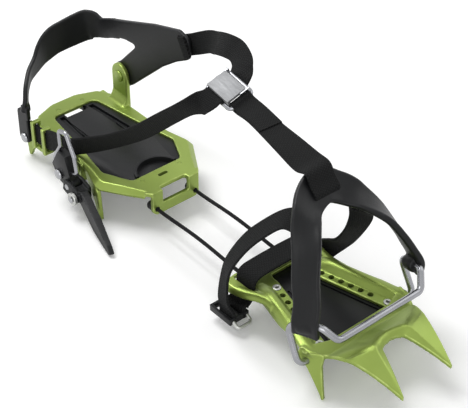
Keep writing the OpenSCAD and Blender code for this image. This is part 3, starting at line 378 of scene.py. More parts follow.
STOPPER_PROFILE = [
    (1.3, 5.1), (1.3, 2.9), (2.2, 2.6), (2.9, 1.6), (3.0, 0.6), (2.6, 0.4), (2.6, -0.4), (3.0, -0.6),
    (2.9, -1.6), (2.3, -2.6), (1.3, -3.0)]
stoppers = [
    turned("stopper", STOPPER_PROFILE, (STOPPER_X, side * CORD_HALF, CORD_Z), (1, 0, 0))
    for side in (-1, 1)]
cord_stoppers = joined("cord_stoppers_crimped", stoppers)

# Grain and edge marks that several finishes share: grain gives fine mottling in the piece's own space, and
# the edge group gives the mask of bent edges from the piece's edge attribute, broken up by noise. On most
# finishes it lays rubbed wear; on the green anodised finish its light lime colour is a painted highlight.
grain, grain_in, grain_out = new_group(
    "fine_grain",
    [("Scale", "NodeSocketFloat", 900.0), ("Stretch", "NodeSocketVector", (1.0, 1.0, 1.0))],
    [("Grain", "NodeSocketFloat"), ("Clouds", "NodeSocketFloat")],
)
grain_spot = add_node(grain, "ShaderNodeTexCoord").outputs["Object"]
grain_where = add_node(
    grain, "ShaderNodeVectorMath", {0: grain_spot, 1: grain_in["Stretch"]}, operation="MULTIPLY").outputs[0]
grain.links.new(noise(grain, grain_where, grain_in["Scale"], 4.0), grain_out["Grain"])
grain.links.new(noise(grain, grain_where, 60.0, 5.0), grain_out["Clouds"])

wear_and_highlight, wear_and_highlight_in, wear_and_highlight_out = new_group(
    "edge_wear_and_highlight",
    [("Amount", "NodeSocketFloat", 0.5)],
    [("Mask", "NodeSocketFloat")],
)
convex_edge = add_node(wear_and_highlight, "ShaderNodeAttribute", attribute_name="edge").outputs["Fac"]
wear_and_highlight_spots = noise(wear_and_highlight, add_node(wear_and_highlight, "ShaderNodeTexCoord").outputs["Object"], 220.0, 6.0)
wear_and_highlight_spots = add_node(
    wear_and_highlight, "ShaderNodeMapRange", {"Value": wear_and_highlight_spots, "From Min": 0.35, "From Max": 0.65}).outputs[0]
wear_and_highlight_mask = calc(wear_and_highlight, "MULTIPLY", convex_edge, wear_and_highlight_spots)
wear_and_highlight.links.new(calc(wear_and_highlight, "MULTIPLY", wear_and_highlight_mask, wear_and_highlight_in["Amount"]), wear_and_highlight_out["Mask"])


def mottled_finish(
    name, colours, metallic, roughness, grain_scale, bump_depth, wear_and_highlight_amount, worn_and_highlit,
    stretch=(1, 1, 1), **constants
):
    finish, tree, shader = new_finish(name, metallic=metallic, **constants)
    mottling = {"Scale": grain_scale, "Stretch": stretch}
    fine = add_node(tree, "ShaderNodeGroup", mottling, node_tree=grain).outputs
    # The edge mask mixes in the edge colour: rubbed wear on most finishes, a painted highlight on the green
    # anodised one.
    rubbed_and_highlit = add_node(tree, "ShaderNodeGroup", {"Amount": wear_and_highlight_amount}, node_tree=wear_and_highlight).outputs["Mask"]
    base = mixed(tree, fine["Clouds"], srgb(*colours[0]), srgb(*colours[1]))
    tree.links.new(mixed(tree, rubbed_and_highlit, base, srgb(*worn_and_highlit)), shader["Base Color"])
    spread = calc(tree, "MULTIPLY", calc(tree, "SUBTRACT", fine["Grain"], 0.5), roughness[1])
    tree.links.new(calc(tree, "ADD", spread, roughness[0]), shader["Roughness"])
    bumped(tree, shader, fine["Grain"], bump_depth)
    return finish


steel_bright = mottled_finish(
    "steel_bright", ((150, 151, 154), (178, 179, 182)), metallic=0.95, roughness=(0.27, 0.22),
    grain_scale=700.0, bump_depth=0.01, wear_and_highlight_amount=0.5, worn_and_highlit=(215, 215, 218))
crimp_dark = mottled_finish(
    "crimp_dark", ((26, 26, 28), (40, 40, 42)), metallic=0.3, roughness=(0.5, 0.2),
    grain_scale=900.0, bump_depth=0.02, wear_and_highlight_amount=0.3, worn_and_highlit=(90, 90, 92))
fit(cord_stoppers, crimp_dark, "webbing", "link", "cord_stoppers")


def merged_copy(name, node):
    piece = new_object(name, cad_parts[node].data.copy())
    only(piece)
    bpy.ops.object.mode_set(mode="EDIT")
    bpy.ops.mesh.select_all(action="SELECT")
    bpy.ops.mesh.remove_doubles(threshold=WELD)
    bpy.ops.mesh.dissolve_limited(angle_limit=FLAT_ANGLE)
    bpy.ops.object.mode_set(mode="OBJECT")
    piece.data.materials.clear()
    return piece


def shape_with(piece, kind, **settings):
    only(piece)
    modifier = piece.modifiers.new("shaping", kind)
    for key, value in settings.items():
        setattr(modifier, key, value)
    bpy.ops.object.modifier_apply(modifier=modifier.name)


def round_edges(piece, width, segments=2, angle=30):
    mesh = piece.data
    mesh.materials.clear()
    mesh.materials.append(None)
    mesh.materials.append(None)
    shape_with(
        piece, "BEVEL", width=width * MM, segments=segments, limit_method="ANGLE",
        angle_limit=math.radians(angle), material=1)
    edge = mesh.attributes.get("edge") or mesh.attributes.new("edge", "FLOAT", "CORNER")
    marks = [0.0] * len(mesh.loops)
    for face in mesh.polygons:
        if face.material_index == 1:
            for corner in face.loop_indices:
                marks[corner] = 1.0
            face.material_index = 0
    edge.data.foreach_set("value", marks)
    mesh.materials.clear()
    bpy.ops.object.shade_smooth_by_angle(angle=CRISP_ANGLE)
    return piece


def rounded_copy(name, node, width, segments, angle=30):
    return round_edges(merged_copy(name, node), width, segments, angle)


cord_bar = rounded_copy("cord_bar_steel", "cord_bar", 0.6, 3)
fit(cord_bar, steel_bright, "wire", "link", "cord_bar")

# Toe plate
# One pressed sheet of green anodised aluminium: two drilled ledges under rounded rails, a front deck
# with two roofed front points and two side points, and rear ears with a slot for the forefoot strap.
TOE_SHEET = 2.5
TOE_Z = 25.0
RAIL_AT = Vector((60.0, 12.3))
RAIL_SPLAY = math.radians(14.5)
RAIL_ALONG = Vector((math.cos(RAIL_SPLAY), math.sin(RAIL_SPLAY)))
RAIL_ACROSS = Vector((-math.sin(RAIL_SPLAY), math.cos(RAIL_SPLAY)))
LEDGE_MID = 20.25
CREST_MID = 24.95
DECK_MID = TOE_Z - TOE_SHEET / 2
BAIL_X = 102.0
BAIL_Z = 18.5
HOLE_IN = 3.4
HOLE_Z = 20.0
HOLE_D = 3.6
HOLE_STEP = 6.5
HOLE_SHIFT = 0.35
EYELET_HOLE_D = 4.1
EYELET_ALONG = (-9.5, 41.5)
BAIL_HOLE_Y = 36.5
BAIL_HOLE_D = 4.2
EAR_HOLE_X = 24.4
EAR_HOLE_Y = 28.5
EAR_HOLE_Z = 16.6
EAR_HOLE_D = 2.6
EAR_HOLE_AXIS = (1, 0, 0.25)
DRILL_L = 9.0
RAIL_FROM = -16.0
RAIL_STEP = 1.5
RAIL_RINGS = 43
NEARLY_STRAIGHT = math.radians(87)
CORNER_SHARE = 0.45
PLATE_VOXEL = 0.45
MOULD_VOXEL = 0.5


def smooth_route(points, steps):
    last = len(points) - 1
    route = []
    for i in range(last):
        a, b = points[max(i - 1, 0)], points[i]
        c, d = points[i + 1], points[min(i + 2, last)]
        for j in range(steps):
            t = j / steps
            square = (2 * a - 5 * b + 4 * c - d) * t * t
            cube = (3 * b - a - 3 * c + d) * t ** 3
            route.append(0.5 * (2 * b + (c - a) * t + square + cube))
    route.append(points[last])
    return route


def vectors(points):
    return [Vector(p) for p in points]


def sheet_profile(line, thickness, steps=3):
    mids = smooth_route(vectors(line), steps)
    lefts = []
    rights = []
    for i, mid in enumerate(mids):
        along = tangent(mids, i)
        out = Vector((-along.y, along.x)) * thickness / 2
        lefts.append(mid + out)
        rights.append(mid - out)
    return lefts + list(reversed(rights))


def lofted(name, rings):
    return skin(name, rings, [0.0] * (len(rings[0]) + 1), [0.0] * len(rings))


def eased(x, stations):
    for (x0, y0), (x1, y1) in zip(stations, stations[1:]):
        if x <= x1:
            share = min(max((x - x0) / (x1 - x0), 0.0), 1.0)
            return y0 + (y1 - y0) * share * share * (3 - 2 * share)
    return stations[-1][1]


def plate(name, outline, low, high, upright=False):
    bpy.ops.object.select_all(action="DESELECT")
    bpy.ops.mesh.primitive_circle_add(vertices=len(outline), fill_type="NGON")
    piece = bpy.context.object
    piece.name = name
    for vert, (a, b) in zip(piece.data.vertices, outline):
        vert.co = Vector((a, low, b)) * MM if upright else Vector((a, b, low)) * MM
    rise = (0, (high - low) * MM, 0) if upright else (0, 0, (high - low) * MM)
    bpy.ops.object.mode_set(mode="EDIT")
    bpy.ops.mesh.select_all(action="SELECT")
    bpy.ops.mesh.extrude_region_move(TRANSFORM_OT_translate={"value": rise})
    bpy.ops.object.mode_set(mode="OBJECT")
    face_outward(piece)
    return piece


def oblong(x0, y0, x1, y1):
    return [(x0, y0), (x1, y0), (x1, y1), (x0, y1)]


def rounded(outline, radius, steps=5):
    points = vectors(outline)
    result = []
    for i, corner in enumerate(points):
        before = points[i - 1] - corner
        after = points[(i + 1) % len(points)] - corner
        half = before.angle(after) / 2
        if half > NEARLY_STRAIGHT:
            result.append(corner)
            continue
        cut = min(radius / math.tan(half), before.length * CORNER_SHARE, after.length * CORNER_SHARE)
        start = corner + before.normalized() * cut
        end = corner + after.normalized() * cut
        for j in range(steps + 1):
            t = j / steps
            result.append(start * (1 - t) ** 2 + corner * 2 * t * (1 - t) + end * t * t)
    return [tuple(p) for p in result]


def mirrored_piece(name, piece):
    twin = new_object(name, piece.data.copy())
    twin.data.transform(Matrix.Scale(-1, 4, Vector((0, 1, 0))))
    face_outward(twin)
    return twin


def other_side(outline):
    return [(x, -y) for x, y in outline]


def both_halves(half):
    return half + [(x, -y) for x, y in reversed(half) if abs(y) > 1e-6]


def melted(name, pieces, voxel, rounds):
    piece = joined(name, pieces)
    for layer in list(piece.data.uv_layers):
        piece.data.uv_layers.remove(layer)
    shape_with(piece, "REMESH", mode="VOXEL", voxel_size=voxel * MM)
    shape_with(piece, "SMOOTH", factor=0.5, iterations=rounds)
    return piece


def carved(piece, tools, operation="DIFFERENCE"):
    tool = joined("tool", tools)
    shape_with(piece, "BOOLEAN", object=tool, operation=operation, solver="EXACT")
    bpy.data.objects.remove(tool)
    return piece


def drill(at, axis, diameter, depth=DRILL_L, steps=28):
    bpy.ops.object.select_all(action="DESELECT")
    bpy.ops.mesh.primitive_cylinder_add(vertices=steps, radius=diameter / 2 * MM, depth=depth * MM)
    tool = bpy.context.object
    tool.data.transform(placing(at, axis))
    return tool


def mark_edges(piece, low=0.1, high=0.5):
    mesh = bmesh.new()
    mesh.from_mesh(piece.data)
    layer = mesh.verts.layers.float.new("edge")
    for line in mesh.edges:
        bend = line.calc_face_angle_signed(0.0)
        share = min(max((bend - low) / (high - low), 0.0), 1.0)
        for vert in line.verts:
            vert[layer] = max(vert[layer], share)
    mesh.to_mesh(piece.data)
    mesh.free()
    only(piece)
    bpy.ops.object.shade_smooth_by_angle(angle=MARKED_ANGLE)
    return piece


def ledge_spot(s):
    return RAIL_AT + RAIL_ALONG * s + RAIL_ACROSS * HOLE_IN


def rail_ring(s):
    ledge = eased(s, [(-16, LEDGE_MID - 0.4), (-10, LEDGE_MID), (44.5, LEDGE_MID), (49, DECK_MID - 0.6)])
    crest = eased(s, [(-17, LEDGE_MID + 0.4), (0, CREST_MID), (30, CREST_MID), (47, DECK_MID + 0.2)])
    lip = eased(s, [(-16, 18.4), (14, 18.6), (34, crest - 2.2), (47, crest - 0.8)])
    rise = crest - ledge
    drop = crest - lip
    line = [
        (0, ledge), (4.8, ledge), (6.4, ledge + 0.12 * rise), (7.8, ledge + 0.52 * rise),
        (9.2, ledge + 0.9 * rise), (10.8, crest), (12.6, crest - 0.35),
        (13.9, crest - 0.35 - 0.25 * drop), (14.5, lip + 0.35 * drop), (14.6, lip)]
    ring = []
    for q, z in sheet_profile(line, TOE_SHEET - 0.1):
        flat = RAIL_AT + RAIL_ALONG * s + RAIL_ACROSS * q
        ring.append(Vector((flat.x, flat.y, z)))
    return ring


rail = lofted("rail", [rail_ring(RAIL_FROM + RAIL_STEP * i) for i in range(RAIL_RINGS)])

FRONT_ROWS = [
    [(105.5, -1, 24.4), (105.5, 5, 24.4), (105.5, 10, 24.4), (105.5, 15, 24.4), (105.5, 31.5, 24.4)],
    [(111, -1, 24.8), (111, 5, 24.8), (111, 10, 24.8), (111, 15, 24.8), (109.8, 32, 24.2)],
    [(121.4, -1, 31.2), (122.5, 5, 31.3), (123.9, 9.5, 31.3), (124.5, 12, 31.4), (116, 31.2, 27.4)],
    [(126.1, -1, 28.9), (126.8, 4.5, 28.7), (129, 8.2, 28.2), (130, 13.4, 30.6), (124.5, 28.4, 28.9)]]
POINT_TIP = vectors([(155, 17.8, 18.45), (155.3, 18.4, 18.55), (155, 19.1, 18.45)])
POINT_BULGE = (1.1, 0.4, 1.7)
POINT_STEPS = 16


def pressed(name, rows, cuts):
    rings = []
    for row in rows:
        top = [a + (b - a) * j / cuts for a, b in zip(row, row[1:]) for j in range(cuts)] + [row[-1]]
        rings.append(top + [p - Vector((0, 0, TOE_SHEET)) for p in reversed(top)])
    return lofted(name, rings)


front_columns = [smooth_route(vectors(column), 6) for column in zip(*FRONT_ROWS)]
front_arch = pressed("front_arch", list(zip(*front_columns)), 4)
point_root = vectors(FRONT_ROWS[-1][2:])
point_rows = []
for i in range(-1, POINT_STEPS + 1):
    t = i / POINT_STEPS
    point_rows.append([
        a + (b - a) * t + Vector((0, 0, bulge * 4 * t * (1 - t)))
        for a, b, bulge in zip(point_root, POINT_TIP, POINT_BULGE)])
front_point = pressed("front_point", point_rows, 5)

SIDE_BLADE = [
    (-8.6, 0), (6.8, 0), (6.4, -7.4), (11, -26.1), (9.7, -26.1), (8.4, -24.2), (2.9, -16.8), (-2, -10.9),
    (-5.2, -7.4), (-8.6, -5.4)]
SIDE_POINT_AT = Vector((104, 35, DECK_MID))
SIDE_POINT_YAW = math.radians(-19.6)
SIDE_POINT_TILT = math.radians(17)
side_point = plate("side_point", rounded(SIDE_BLADE, 2.0), -TOE_SHEET, 0, upright=True)
side_point.data.transform(
    Matrix.Translation(SIDE_POINT_AT * MM)
    @ Matrix.Rotation(SIDE_POINT_YAW, 4, "Z")
    @ Matrix.Rotation(SIDE_POINT_TILT, 4, "X")
    @ Matrix.Translation(Vector((0, TOE_SHEET / 2, TOE_SHEET / 2)) * MM))

EAR_ARM = [
    (63, 25.9, 24.2), (56, 25.2, 24.0), (49, 26.2, 22.8), (41, 28.6, 21.2), (33, 30.4, 20.4),
    (27.8, 30.4, 19.8), (25, 29.2, 18.2), (24.2, 28.4, 15.4)]
ear_line = [(-2.5, -2.9), (-2.3, -1.2), (-1.3, -0.1), (0, 0.2), (1.3, -0.1), (2.3, -1.2), (2.5, -2.9)]
ear_rings = []
ear_route = smooth_route(vectors(EAR_ARM), 6)
ear_shape = sheet_profile(ear_line, 2.0)
for i, spot in enumerate(ear_route):
    along = tangent(ear_route, i)
    side = Vector((0, 0, 1)).cross(along)
    side = (side if side.length > 0.2 else Vector((0, 1, 0))).normalized()
    up = along.cross(side)
    ear_rings.append([spot + side * a + up * b for a, b in ear_shape])
ear_arm = lofted("ear_arm", ear_rings)

TOE_DECK = [(103, 0), (103, 22.4), (97, 37.2), (103.5, 38), (109.5, 34), (111, 31), (111, 0)]
REAR_DECK = [
    (27, 0), (27, 14), (25, 23), (25.5, 29), (30, 32), (40, 31), (48, 27.2), (52, 24), (52, 11.2), (39, 8),
    (39, 0)]
REAR_DECK_Z = (19.1, 21.6)
STRAP_SLOT = oblong(26.6, 22.4, 45.4, 26.4)
STRAP_SLOT_Z = (14, 26)
toe_deck = plate("toe_deck", both_halves(TOE_DECK), TOE_Z - TOE_SHEET, TOE_Z)
rear_deck = plate("rear_deck", both_halves(REAR_DECK), *REAR_DECK_Z)
toe_halves = [rail, front_arch, front_point, side_point, ear_arm]
toe_plate = melted(
    "toe_plate_pressed",
    [toe_deck, rear_deck] + toe_halves + [mirrored_piece("twin", part) for part in toe_halves],
    PLATE_VOXEL, 7)

toe_tools = []
for side in (-1, 1):
    holes = [((i - HOLE_SHIFT) * HOLE_STEP, HOLE_D) for i in range(6)]
    holes += [(s, EYELET_HOLE_D) for s in EYELET_ALONG]
    for s, hole_d in holes:
        hole_at = ledge_spot(s)
        toe_tools.append(drill((hole_at.x, side * hole_at.y, HOLE_Z), (0, 0, 1), hole_d))
    toe_tools.append(drill((BAIL_X, side * BAIL_HOLE_Y, BAIL_Z), (0, 1, 0), BAIL_HOLE_D, 8))
    toe_tools.append(plate("slot", [(x, side * y) for x, y in rounded(STRAP_SLOT, 1.6)], *STRAP_SLOT_Z))
    toe_tools.append(drill((EAR_HOLE_X, side * EAR_HOLE_Y, EAR_HOLE_Z), EAR_HOLE_AXIS, EAR_HOLE_D))
toe_plate = mark_edges(carved(toe_plate, toe_tools))
# The light lime edge colour here is not wear but a painted highlight along the bends and rolled edges.
green_anodised = mottled_finish(
    "green_anodised", ((132, 152, 66), (147, 167, 82)), metallic=0.7, roughness=(0.37, 0.14),
    grain_scale=1500.0, bump_depth=0.012, wear_and_highlight_amount=0.55, worn_and_highlit=(204, 220, 138),
    Coat_Weight=0.12, Coat_Roughness=0.3)
fit(toe_plate, green_anodised, "green_metal", "toe", "toe_plate")

# Toe snow plate and eyelets
# A black moulded plate under the toe opening that keeps snow from balling, with two long grooves and
# a tongue that reaches back under the strap. Four rolled pale eyelets fix it to the ledges.
TOE_GROOVE = [(54, 7.4), (100, 19.2), (100, 20.8), (54, 9)]
TOE_GROOVE_DEEP = 1.2
TOE_REAR_TONGUE = oblong(37, -10.5, 62, 10.5)
ABOVE_TOE = 30.0
EYELET_PROFILE = [
    (1.05, 16.2), (1.05, 21.8), (1.3, 22.1), (1.9, 22.15), (2.4, 22.0), (2.55, 21.8), (2.4, 21.65),
    (2.0, 21.6), (2.0, 16.6), (2.4, 16.5), (2.5, 16.3), (2.3, 16.1), (1.4, 16.0), (1.05, 16.2)]
moulding_black = mottled_finish(
    "moulding_black", ((15, 16, 17), (22, 23, 25)), metallic=0.0, roughness=(0.42, 0.2),
    grain_scale=1300.0, bump_depth=0.03, wear_and_highlight_amount=0.3, worn_and_highlit=(58, 59, 62), Specular_IOR_Level=0.24)
toe_snow = merged_copy("toe_snow_plate_moulded", "toe_snow_plate")
snow_low = min(vert.co.z for vert in toe_snow.data.vertices) / MM
snow_high = max(vert.co.z for vert in toe_snow.data.vertices) / MM
toe_snow = carved(toe_snow, [plate("tongue", TOE_REAR_TONGUE, snow_low, snow_high)], "UNION")
toe_snow = carved(toe_snow, [
    plate("groove", outline, snow_high - TOE_GROOVE_DEEP, ABOVE_TOE)
    for outline in (TOE_GROOVE, other_side(TOE_GROOVE))])
toe_snow = round_edges(toe_snow, 0.3, 2)
fit(toe_snow, moulding_black, "moulding", "toe", "toe_snow_plate")
eyelets = []
for side in (-1, 1):
    for at in [ledge_spot(s) for s in EYELET_ALONG]:
        eyelets.append(turned("eyelet", EYELET_PROFILE, (at.x, side * at.y, 0), (0, 0, 1), hollow=True))
pale_metal = mottled_finish(
    "pale_metal", ((186, 187, 184), (205, 206, 202)), metallic=0.75, roughness=(0.34, 0.2),
    grain_scale=800.0, bump_depth=0.01, wear_and_highlight_amount=0.4, worn_and_highlit=(225, 225, 222))
fit(joined("toe_eyelets_rolled", eyelets), pale_metal, "pale_metal", "toe", "toe_eyelets")

# Toe bail
# One bent stainless wire: its ends turn in the side points, it climbs past the boot's toe,
# and its front bar lies across the welt.
BAIL_D = 4.0
BAIL_BEND = 5.0
WIRE_STEP = 4.0
BAIL_HEAD_Y = 32.6
BAIL_HALF = [
    (BAIL_X, 32.4, BAIL_Z), (BAIL_X, 44, BAIL_Z), (BAIL_X - 11, 43, BAIL_Z + 22),
    (BAIL_X + 9, 37, BAIL_Z + 29.5), (BAIL_X + 16, 31, BAIL_Z + 21.5)]
BAIL_HEAD = [(2.0, 1.2), (2.4, 1.1), (2.6, 0.8), (2.6, 0.3), (2.3, 0.0), (1.2, -0.1)]


def bent_route(points, radius, steps=9):
    route = [points[0]]
    for a, b, c in zip(points, points[1:], points[2:]):
        before = (a - b).normalized()
        after = (c - b).normalized()
        half = before.angle(after) / 2
        cut = radius / math.tan(half)
        start = b + before * cut
        end = b + after * cut
        middle = b + (before + after).normalized() * (radius / math.sin(half))
        first = start - middle
        last = end - middle
        sweep = first.angle(last)
        for j in range(steps + 1):
            t = j / steps
            share_a = math.sin((1 - t) * sweep) / math.sin(sweep)
            share_b = math.sin(t * sweep) / math.sin(sweep)
            route.append(middle + first * share_a + last * share_b)
    route.append(points[-1])
    dense = [route[0]]
    for a, b in zip(route, route[1:]):
        cuts = max(1, int((b - a).length / WIRE_STEP))
        dense += [a + (b - a) * j / cuts for j in range(1, cuts + 1)]
    return dense


def flip_y(points):
    return [Vector((p.x, -p.y, p.z)) for p in points]


wire_steel = mottled_finish(
    "wire_steel", ((138, 139, 143), (170, 171, 175)), metallic=0.96, roughness=(0.24, 0.2),
    grain_scale=500.0, bump_depth=0.012, wear_and_highlight_amount=0.0, worn_and_highlit=(210, 210, 214))
bail_half = vectors(BAIL_HALF)
bail_bends = bent_route(bail_half + list(reversed(flip_y(bail_half))), BAIL_BEND)
bail_wire = tube("toe_bail_bent", bail_bends, BAIL_D, 24)
bail_heads = [
    turned("bail_head", BAIL_HEAD, (BAIL_X, side * BAIL_HEAD_Y, BAIL_Z), (0, side, 0), 28)
    for side in (-1, 1)]
bail = joined("toe_bail_bent", [bail_wire] + bail_heads)
fit(bail, wire_steel, "wire", "toe_bail", "toe_bail_wire")

# Yoke
# A black moulded arch clipped over the bail's two uprights. Its crown leans back under the connecting
# strap that wraps it, and its legs are rounded on the outside.
YOKE_T = 4.0
YOKE_BULGE = 0.9
YOKE_HOLLOW = 0.5
CROWN = Vector((68.4, 0, 98.2))
CROWN_LEAN = math.radians(44)
CROWN_RISE = 78.5
SADDLE_A = Vector(BAIL_HALF[2])
SADDLE_B = Vector(BAIL_HALF[3])
SADDLE_MID = SADDLE_A + (SADDLE_B - SADDLE_A) * 0.56
SADDLE_PROFILE = [(3.6, -5.2), (4.3, -4.4), (4.6, -2.6), (4.6, 2.6), (4.3, 4.4), (3.6, 5.2)]
BORE_FROM_Y = 25.0
BORE_PLAY = 0.1


def yoke_spot(x, y, rise):
    return Vector((x, y, BAIL_Z + CROWN_RISE * rise))


YOKE_NEAR = [
    SADDLE_MID + Vector((1.4, 1.4, -4.8)), SADDLE_MID + Vector((0.8, 1.8, 3)),
    yoke_spot(100.8, 38.4, 0.5), yoke_spot(95.8, 35.2, 0.64), yoke_spot(89.5, 29.4, 0.8),
    yoke_spot(80.3, 21.6, 0.925), yoke_spot(72, 12, 0.98)]
YOKE_FAR = [
    SADDLE_MID + Vector((0, 2.4, -4.4)), SADDLE_MID + Vector((0, 2.6, 3)),
    yoke_spot(99, 38.6, 0.49), yoke_spot(95, 34, 0.622), yoke_spot(89.4, 27.4, 0.77),
    yoke_spot(80.6, 18.2, 0.896), yoke_spot(72, 9.8, 0.965)]
YOKE_ACROSS = vectors([
    (0.93, -0.3, 0.2), (0.93, -0.3, 0.2), (0.93, -0.3, 0.15), (0.95, -0.3, 0), (0.93, -0.2, -0.25),
    (0.85, -0.1, -0.5), (0.76, -0.03, -0.64), (0.72, 0, -0.69)])
YOKE_WIDTHS = [16, 16, 16, 16, 16, 16.5, 18.5, 21]


def band_rings(route, across, widths, section):
    rings = []
    for i, point in enumerate(route):
        along = tangent(route, i)
        face = along.cross(across[i]).normalized()
        side = face.cross(along).normalized()
        rings.append([point + side * a + face * b for a, b in section(widths[i])])
    return rings


def yoke_section(width):
    half = width / 2
    thick = YOKE_T / 2
    shares = (0.86, 0.6, 0.3, 0, -0.3, -0.6, -0.86)
    outside = [(half * k, thick + YOKE_BULGE * (1 - k * k)) for k in shares]
    rim = [(-half, thick - 0.9), (-half, -thick + 0.6), (-half + 0.9, -thick)]
    inside = [(half * k, -thick + YOKE_HOLLOW * (1 - k * k)) for k in (-0.5, 0, 0.5)]
    other_rim = [(-a, b) for a, b in reversed(rim)]
    return [(a, -b) for a, b in outside + rim + inside + other_rim]


yoke_route = smooth_route(YOKE_FAR + [CROWN] + list(reversed(flip_y(YOKE_NEAR))), 8)
yoke_across = smooth_route(YOKE_ACROSS + list(reversed(flip_y(YOKE_ACROSS[:-1]))), 8)
yoke_widths = smooth_route(YOKE_WIDTHS + list(reversed(YOKE_WIDTHS[:-1])), 8)
yoke_parts = [lofted("yoke_band", band_rings(yoke_route, yoke_across, yoke_widths, yoke_section))]
saddle = turned("saddle", SADDLE_PROFILE, SADDLE_MID, (SADDLE_B - SADDLE_A).normalized(), 32)
yoke_parts += [saddle, mirrored_piece("saddle_twin", saddle)]
yoke = melted("toe_yoke_moulded", yoke_parts, MOULD_VOXEL, 6)
yoke_tools = []
for side in (-1, 1):
    bends = [p for p in bail_bends if p.y * side > BORE_FROM_Y]
    yoke_tools.append(tube("bore", bends, BAIL_D + BORE_PLAY, 24))
yoke = mark_edges(carved(yoke, yoke_tools))
fit(yoke, moulding_black, "moulding", "toe_bail", "toe_yoke")

# Forefoot strap
# Black polyester webbing: it leaves the ladder buckle at the near ear, arches over the boot to the
# yoke, comes down to the far ear, and runs under the boot through both ears' slots. The moulded ladder
# buckle is shorter than its solid and sits further in, with a bent ring at its front end.
WEB_T = 1.6
FORE_W = 13.5
UNDER_W = 15.5
LADDER_SET = Vector((2, 4.5, 1.5))
LADDER_SHARE = 0.8
RING_D = 2.2
RING_BEND = 2.0
RING_POINTS = [(43.5, -41, 8.1), (49, -41, 5.7), (49, -31, 5.7), (43.5, -31, 8.1)]
NEAR_ROUTE = [
    (38, -39.8, 6.3), (38, -39.8, 11.5), (35.7, -40.8, 19), (34, -38.6, 30.5), (36.4, -36.8, 44),
    (45, -32, 62), (55.4, -25.8, 76), (63, -21.4, 83.4), (69.6, -19.6, 85.4), (77, -18.6, 83.6)]
NEAR_ACROSS = [
    (1, 0, 0), (1, 0, 0), (0.92, -0.25, 0.15), (0.85, -0.4, 0.1), (0.8, -0.5, 0), (0.75, -0.6, -0.16),
    (0.68, -0.68, -0.18), (0.62, -0.74, -0.25), (0.58, -0.65, -0.45), (0.56, -0.6, -0.57)]
FAR_ROUTE = [
    (37.5, 35, 15.2), (41.5, 35.4, 20.5), (49, 33.8, 28.5), (59.5, 30.8, 40), (69, 28, 55), (75, 25.2, 68),
    (77, 22, 75.6), (77, 18.8, 80.6), (75, 15.4, 83.6)]
FAR_ACROSS = [
    (0.75, 0, -0.66), (0.7, 0.35, -0.6), (0.6, 0.65, -0.45), (0.4, 0.88, -0.25), (0.4, 0.88, -0.2),
    (0.6, 0.75, -0.25), (0.8, 0.5, -0.3), (0.9, 0.2, -0.35), (0.93, -0.1, -0.35)]
UNDER_HALF = [(36, 0, 29.4), (36, 12, 29.2), (36, 20.5, 28.4), (36, 23.9, 25.5), (36, 24.6, 20)]
UNDER_NEAR = [(36, -26, 15), (36, -29.5, 11.7), (36.6, -32, 11), (37.6, -33, 10), (38, -33.2, 6.5)]
UNDER_FAR = [(36, 27, 15.4), (36, 30.5, 13.8), (36.5, 33.8, 13.6)]


def web_section(width):
    half = width / 2
    shares = [1, 0.985, 0.95, 0.9, 0.84, 0.6, 0.3, 0]
    heights = [0, 0.62, 0.95, 1.06, 1.0, 0.97, 0.96, 0.96]
    top = [(half * s, WEB_T / 2 * h) for s, h in zip(shares, heights)]
    top += [(-a, b) for a, b in reversed(top[:-1])]
    return top + [(a, -b) for a, b in reversed(top[1:-1])]


def webbing(name, points, across, width, steps=10):
    route = smooth_route(vectors(points), steps)
    ways = smooth_route(vectors(across), steps)
    section = web_section(width)
    rings = band_rings(route, ways, [width] * len(route), web_section)
    around = [a / UV_MM for a, _ in section + section[:1]]
    return skin(name, rings, around, [v / UV_MM for v in lengths_along(route)])


webbing_black = woven_finish(
    "webbing_black", (9, 9, 10), (34, 35, 35), across=1.15, along=1.7, skew=0.0, depth=0.22)
near_strap = webbing("forefoot_strap_near_web", NEAR_ROUTE, NEAR_ACROSS, FORE_W)
fit(near_strap, webbing_black, "webbing", None, "forefoot_strap_near")
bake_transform(near_strap)
far_strap = webbing("forefoot_strap_far_web", FAR_ROUTE, FAR_ACROSS, FORE_W)
fit(far_strap, webbing_black, "webbing", None, "forefoot_strap_far")
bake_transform(far_strap)
under_route = list(reversed(UNDER_NEAR)) + [(x, -y, z) for x, y, z in reversed(UNDER_HALF)]
under_route += UNDER_HALF[1:] + UNDER_FAR
under_strap = webbing("forefoot_strap_under_web", under_route, [(1, 0, 0)] * len(under_route), UNDER_W)
fit(under_strap, webbing_black, "webbing", "toe", "forefoot_strap_under")

ladder = rounded_copy("ladder_buckle_moulded", "ladder_buckle", 0.9, 3)
ladder_end = min(vert.co.x for vert in ladder.data.vertices)
for vert in ladder.data.vertices:
    vert.co.x = ladder_end + (vert.co.x - ladder_end) * LADDER_SHARE
ladder.data.transform(Matrix.Translation(LADDER_SET * MM))
fit(ladder, moulding_black, "moulding", "toe", "ladder_buckle")
ladder_ring = tube("ladder_ring_bent", bent_route(vectors(RING_POINTS), RING_BEND), RING_D)
fit(ladder_ring, pale_metal, "pale_metal", "toe", "ladder_ring")

